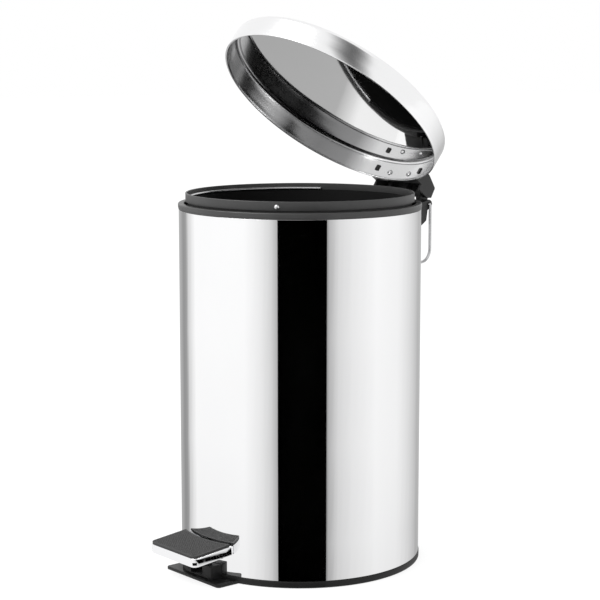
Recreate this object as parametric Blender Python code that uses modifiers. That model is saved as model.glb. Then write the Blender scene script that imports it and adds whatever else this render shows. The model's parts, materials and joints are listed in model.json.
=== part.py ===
# Pedal bin: a steel tube on a moulded base, with a lid that a pedal opens through a lever and a push rod.
# The floor is z = 0 and the tube stands on the z axis. The pedal is towards -y, the lid's hinge towards +y.
# The lid is modelled closed, and its pivot turns it to the angle at which the bin stands open.

import math

import bmesh
import bpy
from mathutils import Matrix, Vector

# Clearances (metres, as all sizes here)
GAP = 0.0003                # between pieces that touch
PIN_PLAY = 0.0001           # round a pin in its bore
SCREW_PLAY = 0.0002         # round a screw or rivet in its hole

# Tube, base and collar
TUBE_R = 0.125
TUBE_WALL = 0.0008
TUBE_LENGTH = 0.3596
RING_H = 0.0067             # the base's ring below the tube
RING_LIP = 0.0006           # how far ring and collar stand out from the tube
ROUND_OFF = 0.0012          # collar's edges
FLOOR_TOP = 0.005
UPSTAND_H = 0.0153          # the base's wall inside the tube
MOULD_WALL = 0.002
FOOT_W = 0.0096             # width of the ring that stands on the floor
FOOT_LIFT = 0.002           # the rest of the underside is this far up
CENTRE_PAD_R = 0.034
RIB_GAP = 0.004             # beside the lever's gate, in the seat rib
ROD_GATE_BACK = 0.0005      # rod's gate, behind the bucket
COLLAR_H = 0.0061
COLLAR_IN = 0.0055          # how far the collar reaches in from the tube's outside
COLLAR_SKIRT = 0.011

# Bucket and its bail
BUCKET_SEAT = 0.0423        # height of the bucket's underside
BUCKET_IN = 0.007           # bucket's rim inside the tube's outside
BUCKET_PROUD = 0.0105       # rim above the collar
BUCKET_TAPER = 0.0075       # how much narrower the foot is
BUCKET_WALL = 0.0018
BUCKET_EDGE = 0.0003        # rounding of the rim
BUCKET_BEND = 0.004         # inside, where the wall meets the floor
SEAT_RIB_IN = 0.0145        # the base's rib under the bucket, inside the bucket's foot
BAIL_WIRE_R = 0.0014
BAIL_DROP = 0.0055          # the bail's axis below the bucket's rim
BAIL_INSET = 0.0036         # the wire's line inside the bucket's outside
BAIL_TURN = math.radians(-51.0)
BAIL_TURN_IN = math.radians(2.5)   # from the end that goes through the rim to the loop
BAIL_HEAD_R = 0.0025
BAIL_HEAD_H = 0.0012
LEDGE_W = 0.0026            # the step inside the bucket on which the bail lies
LEDGE_GAP = 0.0004          # between that step and the wire

# Lid
LID_IN = 0.0012             # lid's skirt inside the tube's outside
LID_WALL = 0.0008
LID_DEPTH = 0.0257
LID_CROWN = 0.004
LID_SHOULDER = 0.005
LID_HEM = 0.0018            # sheet folded in at the rim
LID_HEM_H = 0.0025
LID_OPEN = math.radians(39.0)
RIVET_X = 0.015
RIVET_UP = 0.0094
TAB_IN = 0.003              # tabs inside the bracket's ends
TAB_UP = 0.012
TAB_W = 0.005
TAB_H = 0.007
RIVET_HEAD_R = 0.003
RIVET_HEAD_H = 0.001

# Lid bracket: a cover behind the skirt, with two ears and an arm
COVER_WALL = 0.0025
COVER_UP = 0.016            # its top above the lid's rim
COVER_INTO = 0.0055         # its block starts this far inside the skirt's round, which then cuts it
COVER_FLAT = 0.0072         # level part of its top, behind the lid
COVER_SLOPE = 0.0062        # drop of its sloping back
COVER_LOW = 0.0037          # its underside above the hinge pin
COVER_BACK = 0.0035         # its back edge in front of the pin
EAR_REACH = 0.012           # ears reach this far in front of the pin
EAR_UP = 0.0105             # ears' top above the lid's rim
ARM_EDGE = 0.0021           # material round the arm's slot

# Hinge
HINGE_OUT = 0.025           # pin behind the tube
HINGE_DROP = 0.0085         # pin below the collar's top
PIN_R = 0.002
KNUCKLE_R = 0.0048
BRACKET_HALF = 0.036
CHEEK_W = 0.0074
EAR_W = 0.007
HINGE_SCREW_X = 0.022
HINGE_SCREW_DROP = 0.014    # below the pin
HINGE_SCREW_IN = 0.010      # into the bracket, from the tube's outside
BRACKET_DROP = 0.024        # the bracket's underside below the pin
EAR_ROOM = 0.010            # room in front of the pin, in which the lid bracket's ears swing
EAR_ROOM_DROP = 0.008
ROD_ROOM = 0.0082
ROD_ROOM_DROP = 0.0225
ARM_ROOM_SIDE = 0.0025
ARM_ROOM_DROP = 0.014
SCREW_R = 0.0015
SCREW_HEAD_R = 0.0032
SCREW_HEAD_H = 0.0018
SCREW_SUNK = 0.0005         # overlap of a screw's shank with its head
BRACKET_SCREW_X = 0.018     # screws of the lever's bracket
BRACKET_SCREW_DEPTH = 0.004 # their holes in the base's floor

# Carrying handle at the back
HANDLE_WIRE_R = 0.0016
HANDLE_DROP = 0.064
HANDLE_BEND = 0.017
HANDLE_END_BEND = 0.0018
HANDLE_SIDE = 0.0005        # between the wire and the brackets' ends

# Push rod
ROD_R = 0.0015
ROD_SIDE = 0.003            # rod's line beside the lever
ROD_IN = 0.0052             # rod's line inside the tube's outside
ROD_ARM = 0.0185            # rod's hook in front of the hinge pin
ROD_STROKE = 0.0142         # up or down from the middle of its travel
ARM_START = math.radians(-37.5)
SLOT_PLAY = 0.0008
ROD_BEND = 0.003
HOOK_ROOM = 0.0025          # under the hook at its lowest
ROD_END = 0.004             # foot sticks out this far beyond the lever
HOOK_END = 0.002            # hook sticks out this far beyond the arm
CLIP_R = 0.0032
CLIP_HALF = 0.0007
CLIP_SIDE = 0.0013          # its middle from the lever's side
GUIDE_Z = 0.2
GUIDE_HALF_W = 0.007
GUIDE_HALF_H = 0.005
GUIDE_WALL = 0.0018
HOOK_DRIFT = 0.0009         # how far the lever's tail slides along the rod's foot

# Lever and pedal
PIVOT_Y = -0.020
PIVOT_Z = 0.025
LEVER_HALF = 0.008
LEVER_WALL = 0.0015
LEVER_TAIL_Z = 0.0205       # underside of the lever at the rod
LEVER_TAIL_H = 0.005
LEVER_TAIL_END = 0.0009     # beyond the rod's slot
LEVER_MID = 0.0045          # half its height at the pivot
LEVER_AT_WALL = (0.0165, 0.024)    # under and top heights where it goes through the tube
LEVER_WALL_IN = 0.003       # that place, inside the tube's outside
LEVER_RISE = 0.0085         # its height where it meets the pedal
LEVER_TIP = 0.005           # its height at the tip
LEVER_TIP_IN = 0.007        # tip behind the pedal's front edge
LEVER_MEET = 0.0091         # it meets the pedal this far in front of its rear edge
LEVER_STEP = 0.0015         # and its underside bends this far in front of its top
PEDAL_HALF = 0.038
PEDAL_OUT = 0.043           # pedal's front edge from the tube
PEDAL_GAP = 0.0024          # between the pedal's hollowed rear edge and the tube
PEDAL_Z = 0.0394            # top of the tread at that edge
PEDAL_FALL = math.radians(6.0)
PEDAL_SKIRT = 0.009
PEDAL_SHEET = 0.001
PEDAL_CORNER = 0.006
TREAD = 0.002
TREAD_INSET = 0.0012
PEDAL_RIVET_X = 0.0042
PEDAL_RIVET_FORE = 0.0219   # in front of the pedal's rear edge
TONGUE_HALF = 0.044
TONGUE_OUT = 0.018
TONGUE_H = 0.003
TONGUE_IN = 0.012           # how far it goes in under the tube
TONGUE_CORNER = 0.004
BLOCK_HALF = 0.024
BLOCK_OUT = 0.0115
BLOCK_H = 0.016
BLOCK_IN = 0.006
LEVER_NOTCH = 0.0015        # beside the lever where it goes through the base and the tube
LEVER_NOTCH_TOP = 0.039
GATE_LIFT = 0.0005          # gate's floor above the tongue
TAIL_ROOM = 0.005           # beside the lever's tail, at the rod
PIVOT_SHEET = 0.0015        # lever's bracket
PIVOT_HALF = 0.024
PIVOT_DEPTH = 0.012
PIVOT_EAR_HALF = 0.0065
PIVOT_SIDE = 0.0012         # between the lever and the bracket's ears
PIN_HEAD_R = 0.0032
PIN_HEAD_H = 0.0012
LONG = 0.02                 # how far a cutting tool runs past what it cuts

STEPS = 64

# Sizes that follow from the ones above
TUBE_IN = TUBE_R - TUBE_WALL
TUBE_Z0 = RING_H + GAP
TUBE_TOP = TUBE_Z0 + TUBE_LENGTH
COLLAR_Z0 = TUBE_TOP + GAP
COLLAR_TOP = COLLAR_Z0 + COLLAR_H
INNER_R = TUBE_IN - GAP
BUCKET_R = TUBE_R - BUCKET_IN
BUCKET_TOP = COLLAR_TOP + BUCKET_PROUD
SEAT_RIB_R = BUCKET_R - BUCKET_TAPER - SEAT_RIB_IN
LID_R = TUBE_R - LID_IN
TAB_X = BRACKET_HALF - TAB_IN
BAIL_Z = BUCKET_TOP - BAIL_DROP
LID_RIM = COLLAR_TOP + GAP
TAB_Z = LID_RIM + TAB_UP
RIVET_Z = LID_RIM + RIVET_UP
PIN_Y = TUBE_R + HINGE_OUT
PIN_Z = COLLAR_TOP - HINGE_DROP
ROD_X = LEVER_HALF + ROD_SIDE
ROD_Y = TUBE_R - ROD_IN
ROD_HOOK_Y = PIN_Y - ROD_ARM
ROD_HOOK_Z = PIN_Z + ROD_ARM * math.tan(ARM_START + LID_OPEN)
ROD_FOOT_Z = LEVER_TAIL_Z + LEVER_TAIL_H / 2
NOTCH_X0 = -EAR_W / 2 - HOOK_END * 2.75
NOTCH_X1 = ROD_X + ROD_R + EAR_W / 2
NOTCH_HALF = LEVER_HALF + LEVER_NOTCH
PEDAL_REAR_R = TUBE_R + PEDAL_GAP
SHEET_TOP = Vector((0, -PEDAL_REAR_R, PEDAL_Z - TREAD - GAP))
PEDAL_FRAME = Matrix.Translation(SHEET_TOP) @ Matrix.Rotation(math.pi + PEDAL_FALL, 4, "X")

OUTWARD = Vector((0, HINGE_SCREW_IN, 0))
SIDE = Matrix(((0, 0, 1, 0), (1, 0, 0, 0), (0, 1, 0, 0), (0, 0, 0, 1)))   # outline (y, z), thick along x


def clear_scene():
    for obj in list(bpy.data.objects):
        bpy.data.objects.remove(obj, do_unlink=True)


def collection(name):
    made = bpy.data.collections.new(name)
    bpy.context.scene.collection.children.link(made)
    return made


def material(name, colour, roughness, metallic):
    made = bpy.data.materials.new(name)
    made.use_nodes = True
    shader = made.node_tree.nodes["Principled BSDF"]
    shader.inputs["Base Color"].default_value = (*colour, 1.0)
    shader.inputs["Roughness"].default_value = roughness
    shader.inputs["Metallic"].default_value = metallic
    made.diffuse_color = (*colour, 1.0)
    return made


# Every object is made in `TOOLS` and moves to `PARTS` when it is finished as a part.

def new_object(name, data, matrix=Matrix()):
    obj = bpy.data.objects.new(name, data)
    obj.matrix_world = matrix
    obj.hide_render = True
    obj.display_type = "WIRE"
    TOOLS.objects.link(obj)
    return obj


def part(obj, finish, parent=None):
    TOOLS.objects.unlink(obj)
    PARTS.objects.link(obj)
    obj.hide_render = False
    obj.display_type = "TEXTURED"
    obj.data.materials.clear()
    obj.data.materials.append(finish)
    obj.data.shade_smooth()
    obj.data.set_sharp_from_angle(angle=math.radians(35))
    if parent is not None:
        obj.parent = parent
        obj.location = obj.location - parent.location
    return obj


def pivot(name, location):
    empty = bpy.data.objects.new(name, None)
    empty.location = location
    empty.empty_display_size = 0.02
    PARTS.objects.link(empty)
    return empty


# Modelling tools

def mesh_object(name, bm, matrix=Matrix()):
    mesh = bpy.data.meshes.new(name)
    bm.to_mesh(mesh)
    bm.free()
    return new_object(name, mesh, matrix)


def box(name, low, high):
    bm = bmesh.new()
    low, high = Vector(low), Vector(high)
    bmesh.ops.create_cube(bm, size=1.0)
    bmesh.ops.scale(bm, vec=high - low, verts=bm.verts)
    bmesh.ops.translate(bm, vec=(low + high) / 2, verts=bm.verts)
    return mesh_object(name, bm)


def rod(name, start, end, radius, sides=24):
    bm = bmesh.new()
    start, end = Vector(start), Vector(end)
    bmesh.ops.create_cone(bm, cap_ends=True, segments=sides, radius1=radius, radius2=radius,
                          depth=(end - start).length)
    turn = (end - start).to_track_quat("Z", "Y").to_matrix().to_4x4()
    bmesh.ops.transform(bm, matrix=Matrix.Translation((start + end) / 2) @ turn, verts=bm.verts)
    return mesh_object(name, bm)


def to_mesh(obj):
    # a curve, or an object with modifiers, becomes a plain welded mesh
    name, matrix, data = obj.name, obj.matrix_world.copy(), obj.data
    bpy.context.view_layer.update()
    graph = bpy.context.evaluated_depsgraph_get()
    mesh = bpy.data.meshes.new_from_object(obj.evaluated_get(graph))
    bpy.data.objects.remove(obj, do_unlink=True)
    if isinstance(data, bpy.types.Curve):
        bpy.data.curves.remove(data)
    bm = bmesh.new()
    bm.from_mesh(mesh)
    bmesh.ops.remove_doubles(bm, verts=bm.verts, dist=1e-6)
    bmesh.ops.recalc_face_normals(bm, faces=bm.faces)
    bm.to_mesh(mesh)
    bm.free()
    return new_object(name, mesh, matrix)


def turned(name, profile, closed=False, steps=STEPS):
    # profile is (radius, height), running down the outer side
    verts = [(r, 0, z) for r, z in profile]
    edges = [(i, i + 1) for i in range(len(verts) - 1)]
    if closed:
        edges.append((len(verts) - 1, 0))
    mesh = bpy.data.meshes.new(name)
    mesh.from_pydata(verts, edges, [])
    obj = new_object(name, mesh)
    screw = obj.modifiers.new("Screw", "SCREW")
    screw.axis = "Z"
    screw.angle = 2 * math.pi
    screw.steps = steps
    screw.render_steps = steps
    screw.use_merge_vertices = True
    screw.merge_threshold = 0.00001
    return obj


def plate(name, outline, thickness, matrix=Matrix(), middle=0.0):
    # flat outline, thick along its own z, about `middle`
    curve = bpy.data.curves.new(name, "CURVE")
    curve.dimensions = "2D"
    curve.fill_mode = "BOTH"
    curve.extrude = thickness / 2
    spline = curve.splines.new("POLY")
    spline.points.add(len(outline) - 1)
    for point, (u, v) in zip(spline.points, outline):
        point.co = (u, v, 0, 1)
    spline.use_cyclic_u = True
    return to_mesh(new_object(name, curve, matrix @ Matrix.Translation((0, 0, middle))))


def arc(centre, radius, start, end, count=8):
    return [(centre[0] + radius * math.cos(start + (end - start) * i / count),
             centre[1] + radius * math.sin(start + (end - start) * i / count)) for i in range(count + 1)]


def bend(points, radii, count=6):
    # rounds the corners of a line in space; radii is one value for each inner point
    points = [Vector(p) for p in points]
    line = [points[0]]
    for before, here, after, radius in zip(points, points[1:], points[2:], radii):
        to_before, to_after = (before - here).normalized(), (after - here).normalized()
        half = to_before.angle(to_after) / 2
        reach = radius / math.tan(half)
        middle = here + (to_before + to_after).normalized() * (radius / math.sin(half))
        first, last = here + to_before * reach - middle, here + to_after * reach - middle
        sweep = first.angle(last)
        for i in range(count + 1):
            t = i / count
            turned_by = first * math.sin((1 - t) * sweep) + last * math.sin(t * sweep)
            line.append(middle + turned_by / math.sin(sweep))
    line.append(points[-1])
    return line


def wire(name, line, radius, resolution=2):
    curve = bpy.data.curves.new(name, "CURVE")
    curve.dimensions = "3D"
    curve.bevel_depth = radius
    curve.bevel_resolution = resolution
    curve.use_fill_caps = True
    spline = curve.splines.new("POLY")
    spline.points.add(len(line) - 1)
    for point, place in zip(spline.points, line):
        point.co = (*place, 1)
    return to_mesh(new_object(name, curve))


def combine(obj, other, operation="DIFFERENCE"):
    modifier = obj.modifiers.new(other.name, "BOOLEAN")
    modifier.operation = operation
    modifier.object = other
    other.parent = obj
    other.matrix_parent_inverse = obj.matrix_world.inverted()
    return obj


def cut(obj, *others):
    for other in others:
        combine(obj, other)
    return obj


def join(obj, *others):
    for other in others:
        combine(obj, other, "UNION")
    return obj


# The stand: base, tube, collar

def lever_gate(name, low_z, high_z):
    return box(name, (-NOTCH_HALF, -TUBE_R - TONGUE_OUT / 2 - BLOCK_OUT, low_z),
               (NOTCH_HALF, -INNER_R + 2 * MOULD_WALL, high_z))


def rod_gate(name, low_z):
    return box(name, (NOTCH_X0, BUCKET_R + ROD_GATE_BACK, low_z),
               (NOTCH_X1, TUBE_R + RING_LIP * 2, COLLAR_TOP + LONG))


def make_base():
    ring_r = TUBE_R + RING_LIP
    upstand_top, rib_top, rib_in = RING_H + UPSTAND_H, BUCKET_SEAT - GAP, SEAT_RIB_R - MOULD_WALL
    base = turned("base", [
        (0, FLOOR_TOP), (rib_in, FLOOR_TOP), (rib_in, rib_top), (SEAT_RIB_R, rib_top),
        (SEAT_RIB_R, FLOOR_TOP), (INNER_R - MOULD_WALL, FLOOR_TOP), (INNER_R - MOULD_WALL, upstand_top),
        (INNER_R, upstand_top), (INNER_R, RING_H), (ring_r - RING_LIP, RING_H), (ring_r, RING_H - RING_LIP),
        (ring_r, 0), (ring_r - FOOT_W, 0), (ring_r - FOOT_W, FOOT_LIFT),
        (CENTRE_PAD_R, FOOT_LIFT), (CENTRE_PAD_R, 0), (0, 0)])
    lane, past_rib = NOTCH_HALF + RIB_GAP, SEAT_RIB_R + MOULD_WALL
    cut(base, box("rib_gaps", (-lane, -past_rib, FLOOR_TOP + GAP * 3), (lane, past_rib, BUCKET_SEAT + LONG)))
    corner = TONGUE_CORNER
    front = -TUBE_R - TONGUE_OUT
    outline = ([(TONGUE_HALF, -TUBE_R + TONGUE_IN), (-TONGUE_HALF, -TUBE_R + TONGUE_IN)]
               + arc((-TONGUE_HALF + corner, front + corner), corner, math.pi, 1.5 * math.pi, 4)
               + arc((TONGUE_HALF - corner, front + corner), corner, 1.5 * math.pi, 2 * math.pi, 4))
    tongue = plate("tongue", outline, TONGUE_H, middle=TONGUE_H / 2)
    block = box("lever_block", (-BLOCK_HALF, -TUBE_R - BLOCK_OUT, TONGUE_H / 2),
                (BLOCK_HALF, -TUBE_R + BLOCK_IN, BLOCK_H))
    cut(block, rod("block_back", (0, 0, RING_H - GAP), (0, 0, BLOCK_H * 2), TUBE_R + GAP, STEPS))
    join(base, tongue, block)
    tail_low = (-NOTCH_HALF - TAIL_ROOM, SEAT_RIB_R, FLOOR_TOP)
    cut(base, lever_gate("base_gate", TONGUE_H + GATE_LIFT, BLOCK_H * 2),
        box("tail_room", tail_low, (NOTCH_X1, TUBE_R, BLOCK_H * 2)))
    for side, x in (("left", -1), ("right", 1)):
        at = (x * BRACKET_SCREW_X, PIVOT_Y)
        hole_low, hole_high = FLOOR_TOP - BRACKET_SCREW_DEPTH, FLOOR_TOP + LONG
        cut(base, rod("base_hole_" + side, (*at, hole_low), (*at, hole_high), SCREW_R + SCREW_PLAY, 16))
    part(base, BLACK)


def make_tube():
    tube = turned("body_shell", [
        (TUBE_R, TUBE_TOP), (TUBE_R, TUBE_Z0), (TUBE_IN, TUBE_Z0), (TUBE_IN, TUBE_TOP)], closed=True)
    cut(tube, lever_gate("tube_gate", 0, LEVER_NOTCH_TOP),
        rod_gate("tube_rod_gate", ROD_HOOK_Z - ROD_STROKE - ROD_R - HOOK_ROOM))
    for side, x in (("left", -1), ("right", 1)):
        at = Vector((x * HINGE_SCREW_X, TUBE_R, PIN_Z - HINGE_SCREW_DROP))
        cut(tube, rod("tube_hole_" + side, at - OUTWARD, at + OUTWARD, SCREW_R + 2 * SCREW_PLAY, 16))
    part(tube, POLISHED)


def make_collar():
    outer = TUBE_R + RING_LIP
    inner = TUBE_R - COLLAR_IN
    collar = turned("collar", [
        (inner + ROUND_OFF / 2, COLLAR_TOP), (outer - ROUND_OFF, COLLAR_TOP), (outer, COLLAR_TOP - ROUND_OFF),
        (outer, COLLAR_Z0), (INNER_R, COLLAR_Z0), (INNER_R, COLLAR_Z0 - COLLAR_SKIRT),
        (INNER_R - MOULD_WALL, COLLAR_Z0 - COLLAR_SKIRT), (INNER_R - MOULD_WALL, COLLAR_Z0),
        (inner, COLLAR_Z0 + MOULD_WALL), (inner, COLLAR_TOP - ROUND_OFF / 2)], closed=True)
    cut(collar, rod_gate("collar_gate", COLLAR_Z0 - COLLAR_SKIRT * 2))
    part(collar, BLACK)


# Bucket and bail

def make_bucket():
    # the rim stands out over a narrower pail; inside, the step between them is the bail's ledge
    foot_r, pail_r = BUCKET_R - BUCKET_TAPER, BUCKET_R - LEDGE_W
    rim_in, pail_in, foot_in = BUCKET_R - BUCKET_WALL, pail_r - BUCKET_WALL, foot_r - BUCKET_WALL
    floor_z, ledge_z = BUCKET_SEAT + BUCKET_WALL, BAIL_Z - BAIL_WIRE_R - LEDGE_GAP
    edge_z, under_rim = BUCKET_TOP - BUCKET_EDGE, ledge_z - BUCKET_WALL
    bucket = turned("bucket", [
        (0, floor_z), (foot_in - BUCKET_BEND, floor_z), (foot_in, floor_z + BUCKET_BEND), (pail_in, ledge_z),
        (rim_in, ledge_z), (rim_in, edge_z), (rim_in + BUCKET_EDGE, BUCKET_TOP),
        (BUCKET_R - BUCKET_EDGE, BUCKET_TOP), (BUCKET_R, edge_z), (BUCKET_R, under_rim),
        (pail_r, under_rim), (foot_r, BUCKET_SEAT + BUCKET_BEND), (foot_r - BUCKET_BEND, BUCKET_SEAT),
        (0, BUCKET_SEAT)])
    along = Vector((math.cos(BAIL_TURN), math.sin(BAIL_TURN), 0)) * BUCKET_R * 1.1
    up = Vector((0, 0, BAIL_Z))
    cut(bucket, rod("bail_holes", up - along, up + along, BAIL_WIRE_R + GAP, 16))
    part(bucket, BLACK)


def make_bail():
    # the wire lies level inside the rim, and its two ends go out through the rim to flat heads
    loop_r = BUCKET_R - BAIL_INSET
    end_r = BUCKET_R + GAP + BAIL_HEAD_H / 2
    first, last = BAIL_TURN - BAIL_TURN_IN, BAIL_TURN - math.pi + BAIL_TURN_IN
    end = [(r * math.cos(BAIL_TURN), r * math.sin(BAIL_TURN), BAIL_Z) for r in (end_r, loop_r)]
    line = end + [(x, y, BAIL_Z) for x, y in arc((0, 0), loop_r, first, last, 30)]
    line += [(-x, -y, z) for x, y, z in reversed(end)]
    bail = wire("bucket_bail", line, BAIL_WIRE_R)
    for name, sign in (("front", 1), ("rear", -1)):
        along = Vector((math.cos(BAIL_TURN), math.sin(BAIL_TURN), 0)) * sign
        start = along * (BUCKET_R + GAP) + Vector((0, 0, BAIL_Z))
        join(bail, rod("bail_head_" + name, start, start + along * BAIL_HEAD_H, BAIL_HEAD_R, 16))
    axis = pivot("bail_pivot", (0, 0, BAIL_Z))
    part(bail, STEEL, axis)


# Lid and hinge

def lid_profile():
    top = LID_RIM + LID_DEPTH
    flat = LID_R - LID_SHOULDER
    lift = top - LID_SHOULDER
    crown = [(flat * i / 4, top + LID_CROWN * (1 - (i / 4) ** 2)) for i in range(4)]
    shoulder = arc((flat, lift), LID_SHOULDER, math.pi / 2, 0, 4)
    outer = crown + shoulder + [(LID_R, LID_RIM)]
    hem = [(LID_R - LID_HEM, LID_RIM), (LID_R - LID_HEM, LID_RIM + LID_HEM_H),
           (LID_R - LID_WALL, LID_RIM + LID_HEM_H + LID_WALL)]
    inner_shoulder = arc((flat, lift), LID_SHOULDER - LID_WALL, 0, math.pi / 2, 4)
    inner = [(r, z - LID_WALL) for r, z in reversed(crown)]
    return outer + hem + inner_shoulder + inner


def on_skirt(x):
    # turn about z that takes +y to the skirt's point at this x
    return Matrix.Rotation(-math.asin(x / LID_R), 4, "Z")


def make_lid(axis):
    lid = turned("lid_shell", lid_profile())
    for side, x in (("left", -1), ("right", 1)):
        slot = box("tab_slot_" + side, (-TAB_W / 2, LID_R - LONG / 2, TAB_Z - TAB_H / 2),
                   (TAB_W / 2, LID_R + LONG / 2, TAB_Z + TAB_H / 2))
        slot.matrix_world = on_skirt(x * TAB_X)
        cut(lid, slot, rivet_hole("rivet_hole_" + side, x))
    part(lid, POLISHED, axis)


def rivet_hole(name, side):
    hole = rod(name, (0, LID_R - LONG / 2, RIVET_Z), (0, LID_R + LONG / 2, RIVET_Z), SCREW_R + SCREW_PLAY, 16)
    hole.matrix_world = on_skirt(side * RIVET_X)
    return hole


def hub_web(name, centre_x, width):
    # an ear from the cover down round the pin
    top, front = LID_RIM + EAR_UP, PIN_Y - EAR_REACH
    outline = [(front, top + KNUCKLE_R / 3), (front, PIN_Z + KNUCKLE_R * 1.15)]
    outline += arc((PIN_Y, PIN_Z), KNUCKLE_R, math.radians(200), math.radians(370), 12)
    outline += [(PIN_Y - KNUCKLE_R * 0.94, top)]
    return plate(name, outline, width, SIDE, centre_x)


def cover_outlines():
    # the cover's outside, and its hollow, seen from the side
    wall = COVER_WALL
    rim, top, back, low = LID_RIM + wall * 0.4, LID_RIM + COVER_UP, PIN_Y - COVER_BACK, PIN_Z + COVER_LOW
    knee = low + COVER_BACK
    level, slope = LID_R + COVER_FLAT, top - COVER_SLOPE
    outer = [(LID_R - COVER_INTO, rim), (LID_R - COVER_INTO, top), (level, top - GAP), (back, slope),
             (back + wall * 0.8, knee), (back - wall, low), (TUBE_R + wall * 1.2, low),
             (TUBE_R + wall * 0.9, rim)]
    inside, under = LID_R + wall + GAP, low - LONG / 2
    inner = [(inside, under), (inside, top - wall), (level - wall / 4, top - wall - GAP),
             (back - wall, slope - wall * 0.7), (back - wall / 4, knee), (back - wall * 1.8, under)]
    return outer, inner


def arm_outlines():
    # the arm that the rod lifts, and its slot for the rod's hook, along the arm's own line
    slot_half = ROD_R + SLOT_PLAY
    slot_in = ROD_ARM - slot_half + GAP / 3
    slot_out = ROD_ARM / math.cos(ARM_START)
    arm_half = slot_half + ARM_EDGE
    arm = ([(GAP * 3, arm_half)] + arc((-slot_out, 0), arm_half, math.pi / 2, 1.5 * math.pi, 8)
           + [(GAP * 3, -arm_half)])
    slot = (arc((-slot_in, 0), slot_half, -math.pi / 2, math.pi / 2, 6)
            + arc((-slot_out, 0), slot_half, math.pi / 2, 1.5 * math.pi, 6))
    return arm, slot


def make_lid_bracket(axis):
    outer, inner = cover_outlines()
    bracket = plate("lid_bracket", outer, 2 * BRACKET_HALF, SIDE)
    cut(bracket, plate("bracket_hollow", inner, 2 * (BRACKET_HALF - COVER_WALL), SIDE))
    ear_x = BRACKET_HALF - CHEEK_W - GAP * 2 - EAR_W / 2
    join(bracket, hub_web("ear_left", -ear_x, EAR_W), hub_web("ear_right", ear_x, EAR_W),
         hub_web("arm_root", 0, EAR_W))
    arm, slot = arm_outlines()
    place = Matrix.Translation((0, PIN_Y, PIN_Z)) @ Matrix.Rotation(-ARM_START, 4, "X") @ SIDE
    join(bracket, plate("lid_arm", arm, EAR_W, place))
    cut(bracket, plate("arm_slot", slot, EAR_W * 2, place))
    past = BRACKET_HALF + LONG
    cut(bracket, rod("bracket_skirt", (0, 0, LID_RIM - LONG), (0, 0, LID_RIM + 2 * LONG), LID_R + GAP, STEPS),
        rod("bracket_bore", (-past, PIN_Y, PIN_Z), (past, PIN_Y, PIN_Z), PIN_R + PIN_PLAY))
    for side, x in (("left", -1), ("right", 1)):
        tab = box("tab_" + side, (-TAB_W / 2 + GAP, LID_R - LID_WALL - LID_HEM / 2, TAB_Z - TAB_H / 2 + GAP),
                  (TAB_W / 2 - GAP, LID_R + COVER_WALL / 2, TAB_Z + TAB_H / 2 - GAP))
        tab.matrix_world = on_skirt(x * TAB_X)
        join(bracket, tab)
        cut(bracket, rivet_hole("bracket_hole_" + side, x))
    part(bracket, BLACK, axis)


def make_lid_rivets(axis):
    for side, x in (("left", -1), ("right", 1)):
        inner = LID_R - LID_WALL - GAP
        outer = (LID_R + GAP + COVER_WALL) / math.cos(math.asin(RIVET_X / LID_R)) + GAP
        ends = [Vector((0, y, RIVET_Z)) for y in (inner, outer)]
        head = Vector((0, RIVET_HEAD_H, 0))
        rivet = rod("lid_rivet_" + side, ends[0] - head / 2, ends[1] + head / 2, SCREW_R, 16)
        join(rivet, rod("rivet_head_" + side, ends[0] - head, ends[0], RIVET_HEAD_R, 16),
             rod("rivet_tail_" + side, ends[1], ends[1] + head, RIVET_HEAD_R * 0.8, 16))
        rivet.matrix_world = on_skirt(x * RIVET_X)
        part(rivet, STEEL, axis)


def make_hinge_bracket():
    top, low = TUBE_TOP - GAP, PIN_Z - BRACKET_DROP
    foot = HINGE_OUT * 0.16
    outline = [(TUBE_R - HINGE_SCREW_IN, top), (TUBE_R - HINGE_SCREW_IN, low), (TUBE_R + foot, low),
               (TUBE_R + HINGE_OUT * 0.6, low + BRACKET_DROP * 0.09),
               (TUBE_R + HINGE_OUT * 0.86, low + BRACKET_DROP * 0.28),
               (PIN_Y - GAP * 6, PIN_Z - KNUCKLE_R * 1.3)]
    outline += arc((PIN_Y, PIN_Z), KNUCKLE_R, math.radians(-45), math.radians(125), 12)
    outline += [(PIN_Y - EAR_REACH + GAP * 1.5, top)]
    bracket = plate("hinge_bracket", outline, 2 * BRACKET_HALF, SIDE)
    clear_x, arm_x = BRACKET_HALF - CHEEK_W, EAR_W / 2 + ARM_ROOM_SIDE
    back, above, past = PIN_Y + LONG, PIN_Z + LONG, BRACKET_HALF + LONG
    cut(bracket, rod("bracket_tube", (0, 0, low - LONG), (0, 0, above), TUBE_R + GAP, STEPS),
        box("ear_room", (-clear_x, PIN_Y - EAR_ROOM, PIN_Z - EAR_ROOM_DROP), (clear_x, back, above)),
        box("rod_room", (NOTCH_X0, TUBE_R - LONG, PIN_Z - ROD_ROOM_DROP),
            (NOTCH_X1, PIN_Y - ROD_ROOM, above)),
        box("arm_room", (-arm_x, TUBE_R, PIN_Z - ARM_ROOM_DROP), (arm_x, back, above)),
        rod("hinge_bore", (-past, PIN_Y, PIN_Z), (past, PIN_Y, PIN_Z), PIN_R + PIN_PLAY))
    for side, x in (("left", -1), ("right", 1)):
        at = Vector((x * HINGE_SCREW_X, TUBE_R, PIN_Z - HINGE_SCREW_DROP))
        cut(bracket, rod("screw_hole_" + side, at - OUTWARD, at + OUTWARD * 1.2, SCREW_R + SCREW_PLAY, 16))
    part(bracket, BLACK)


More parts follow.
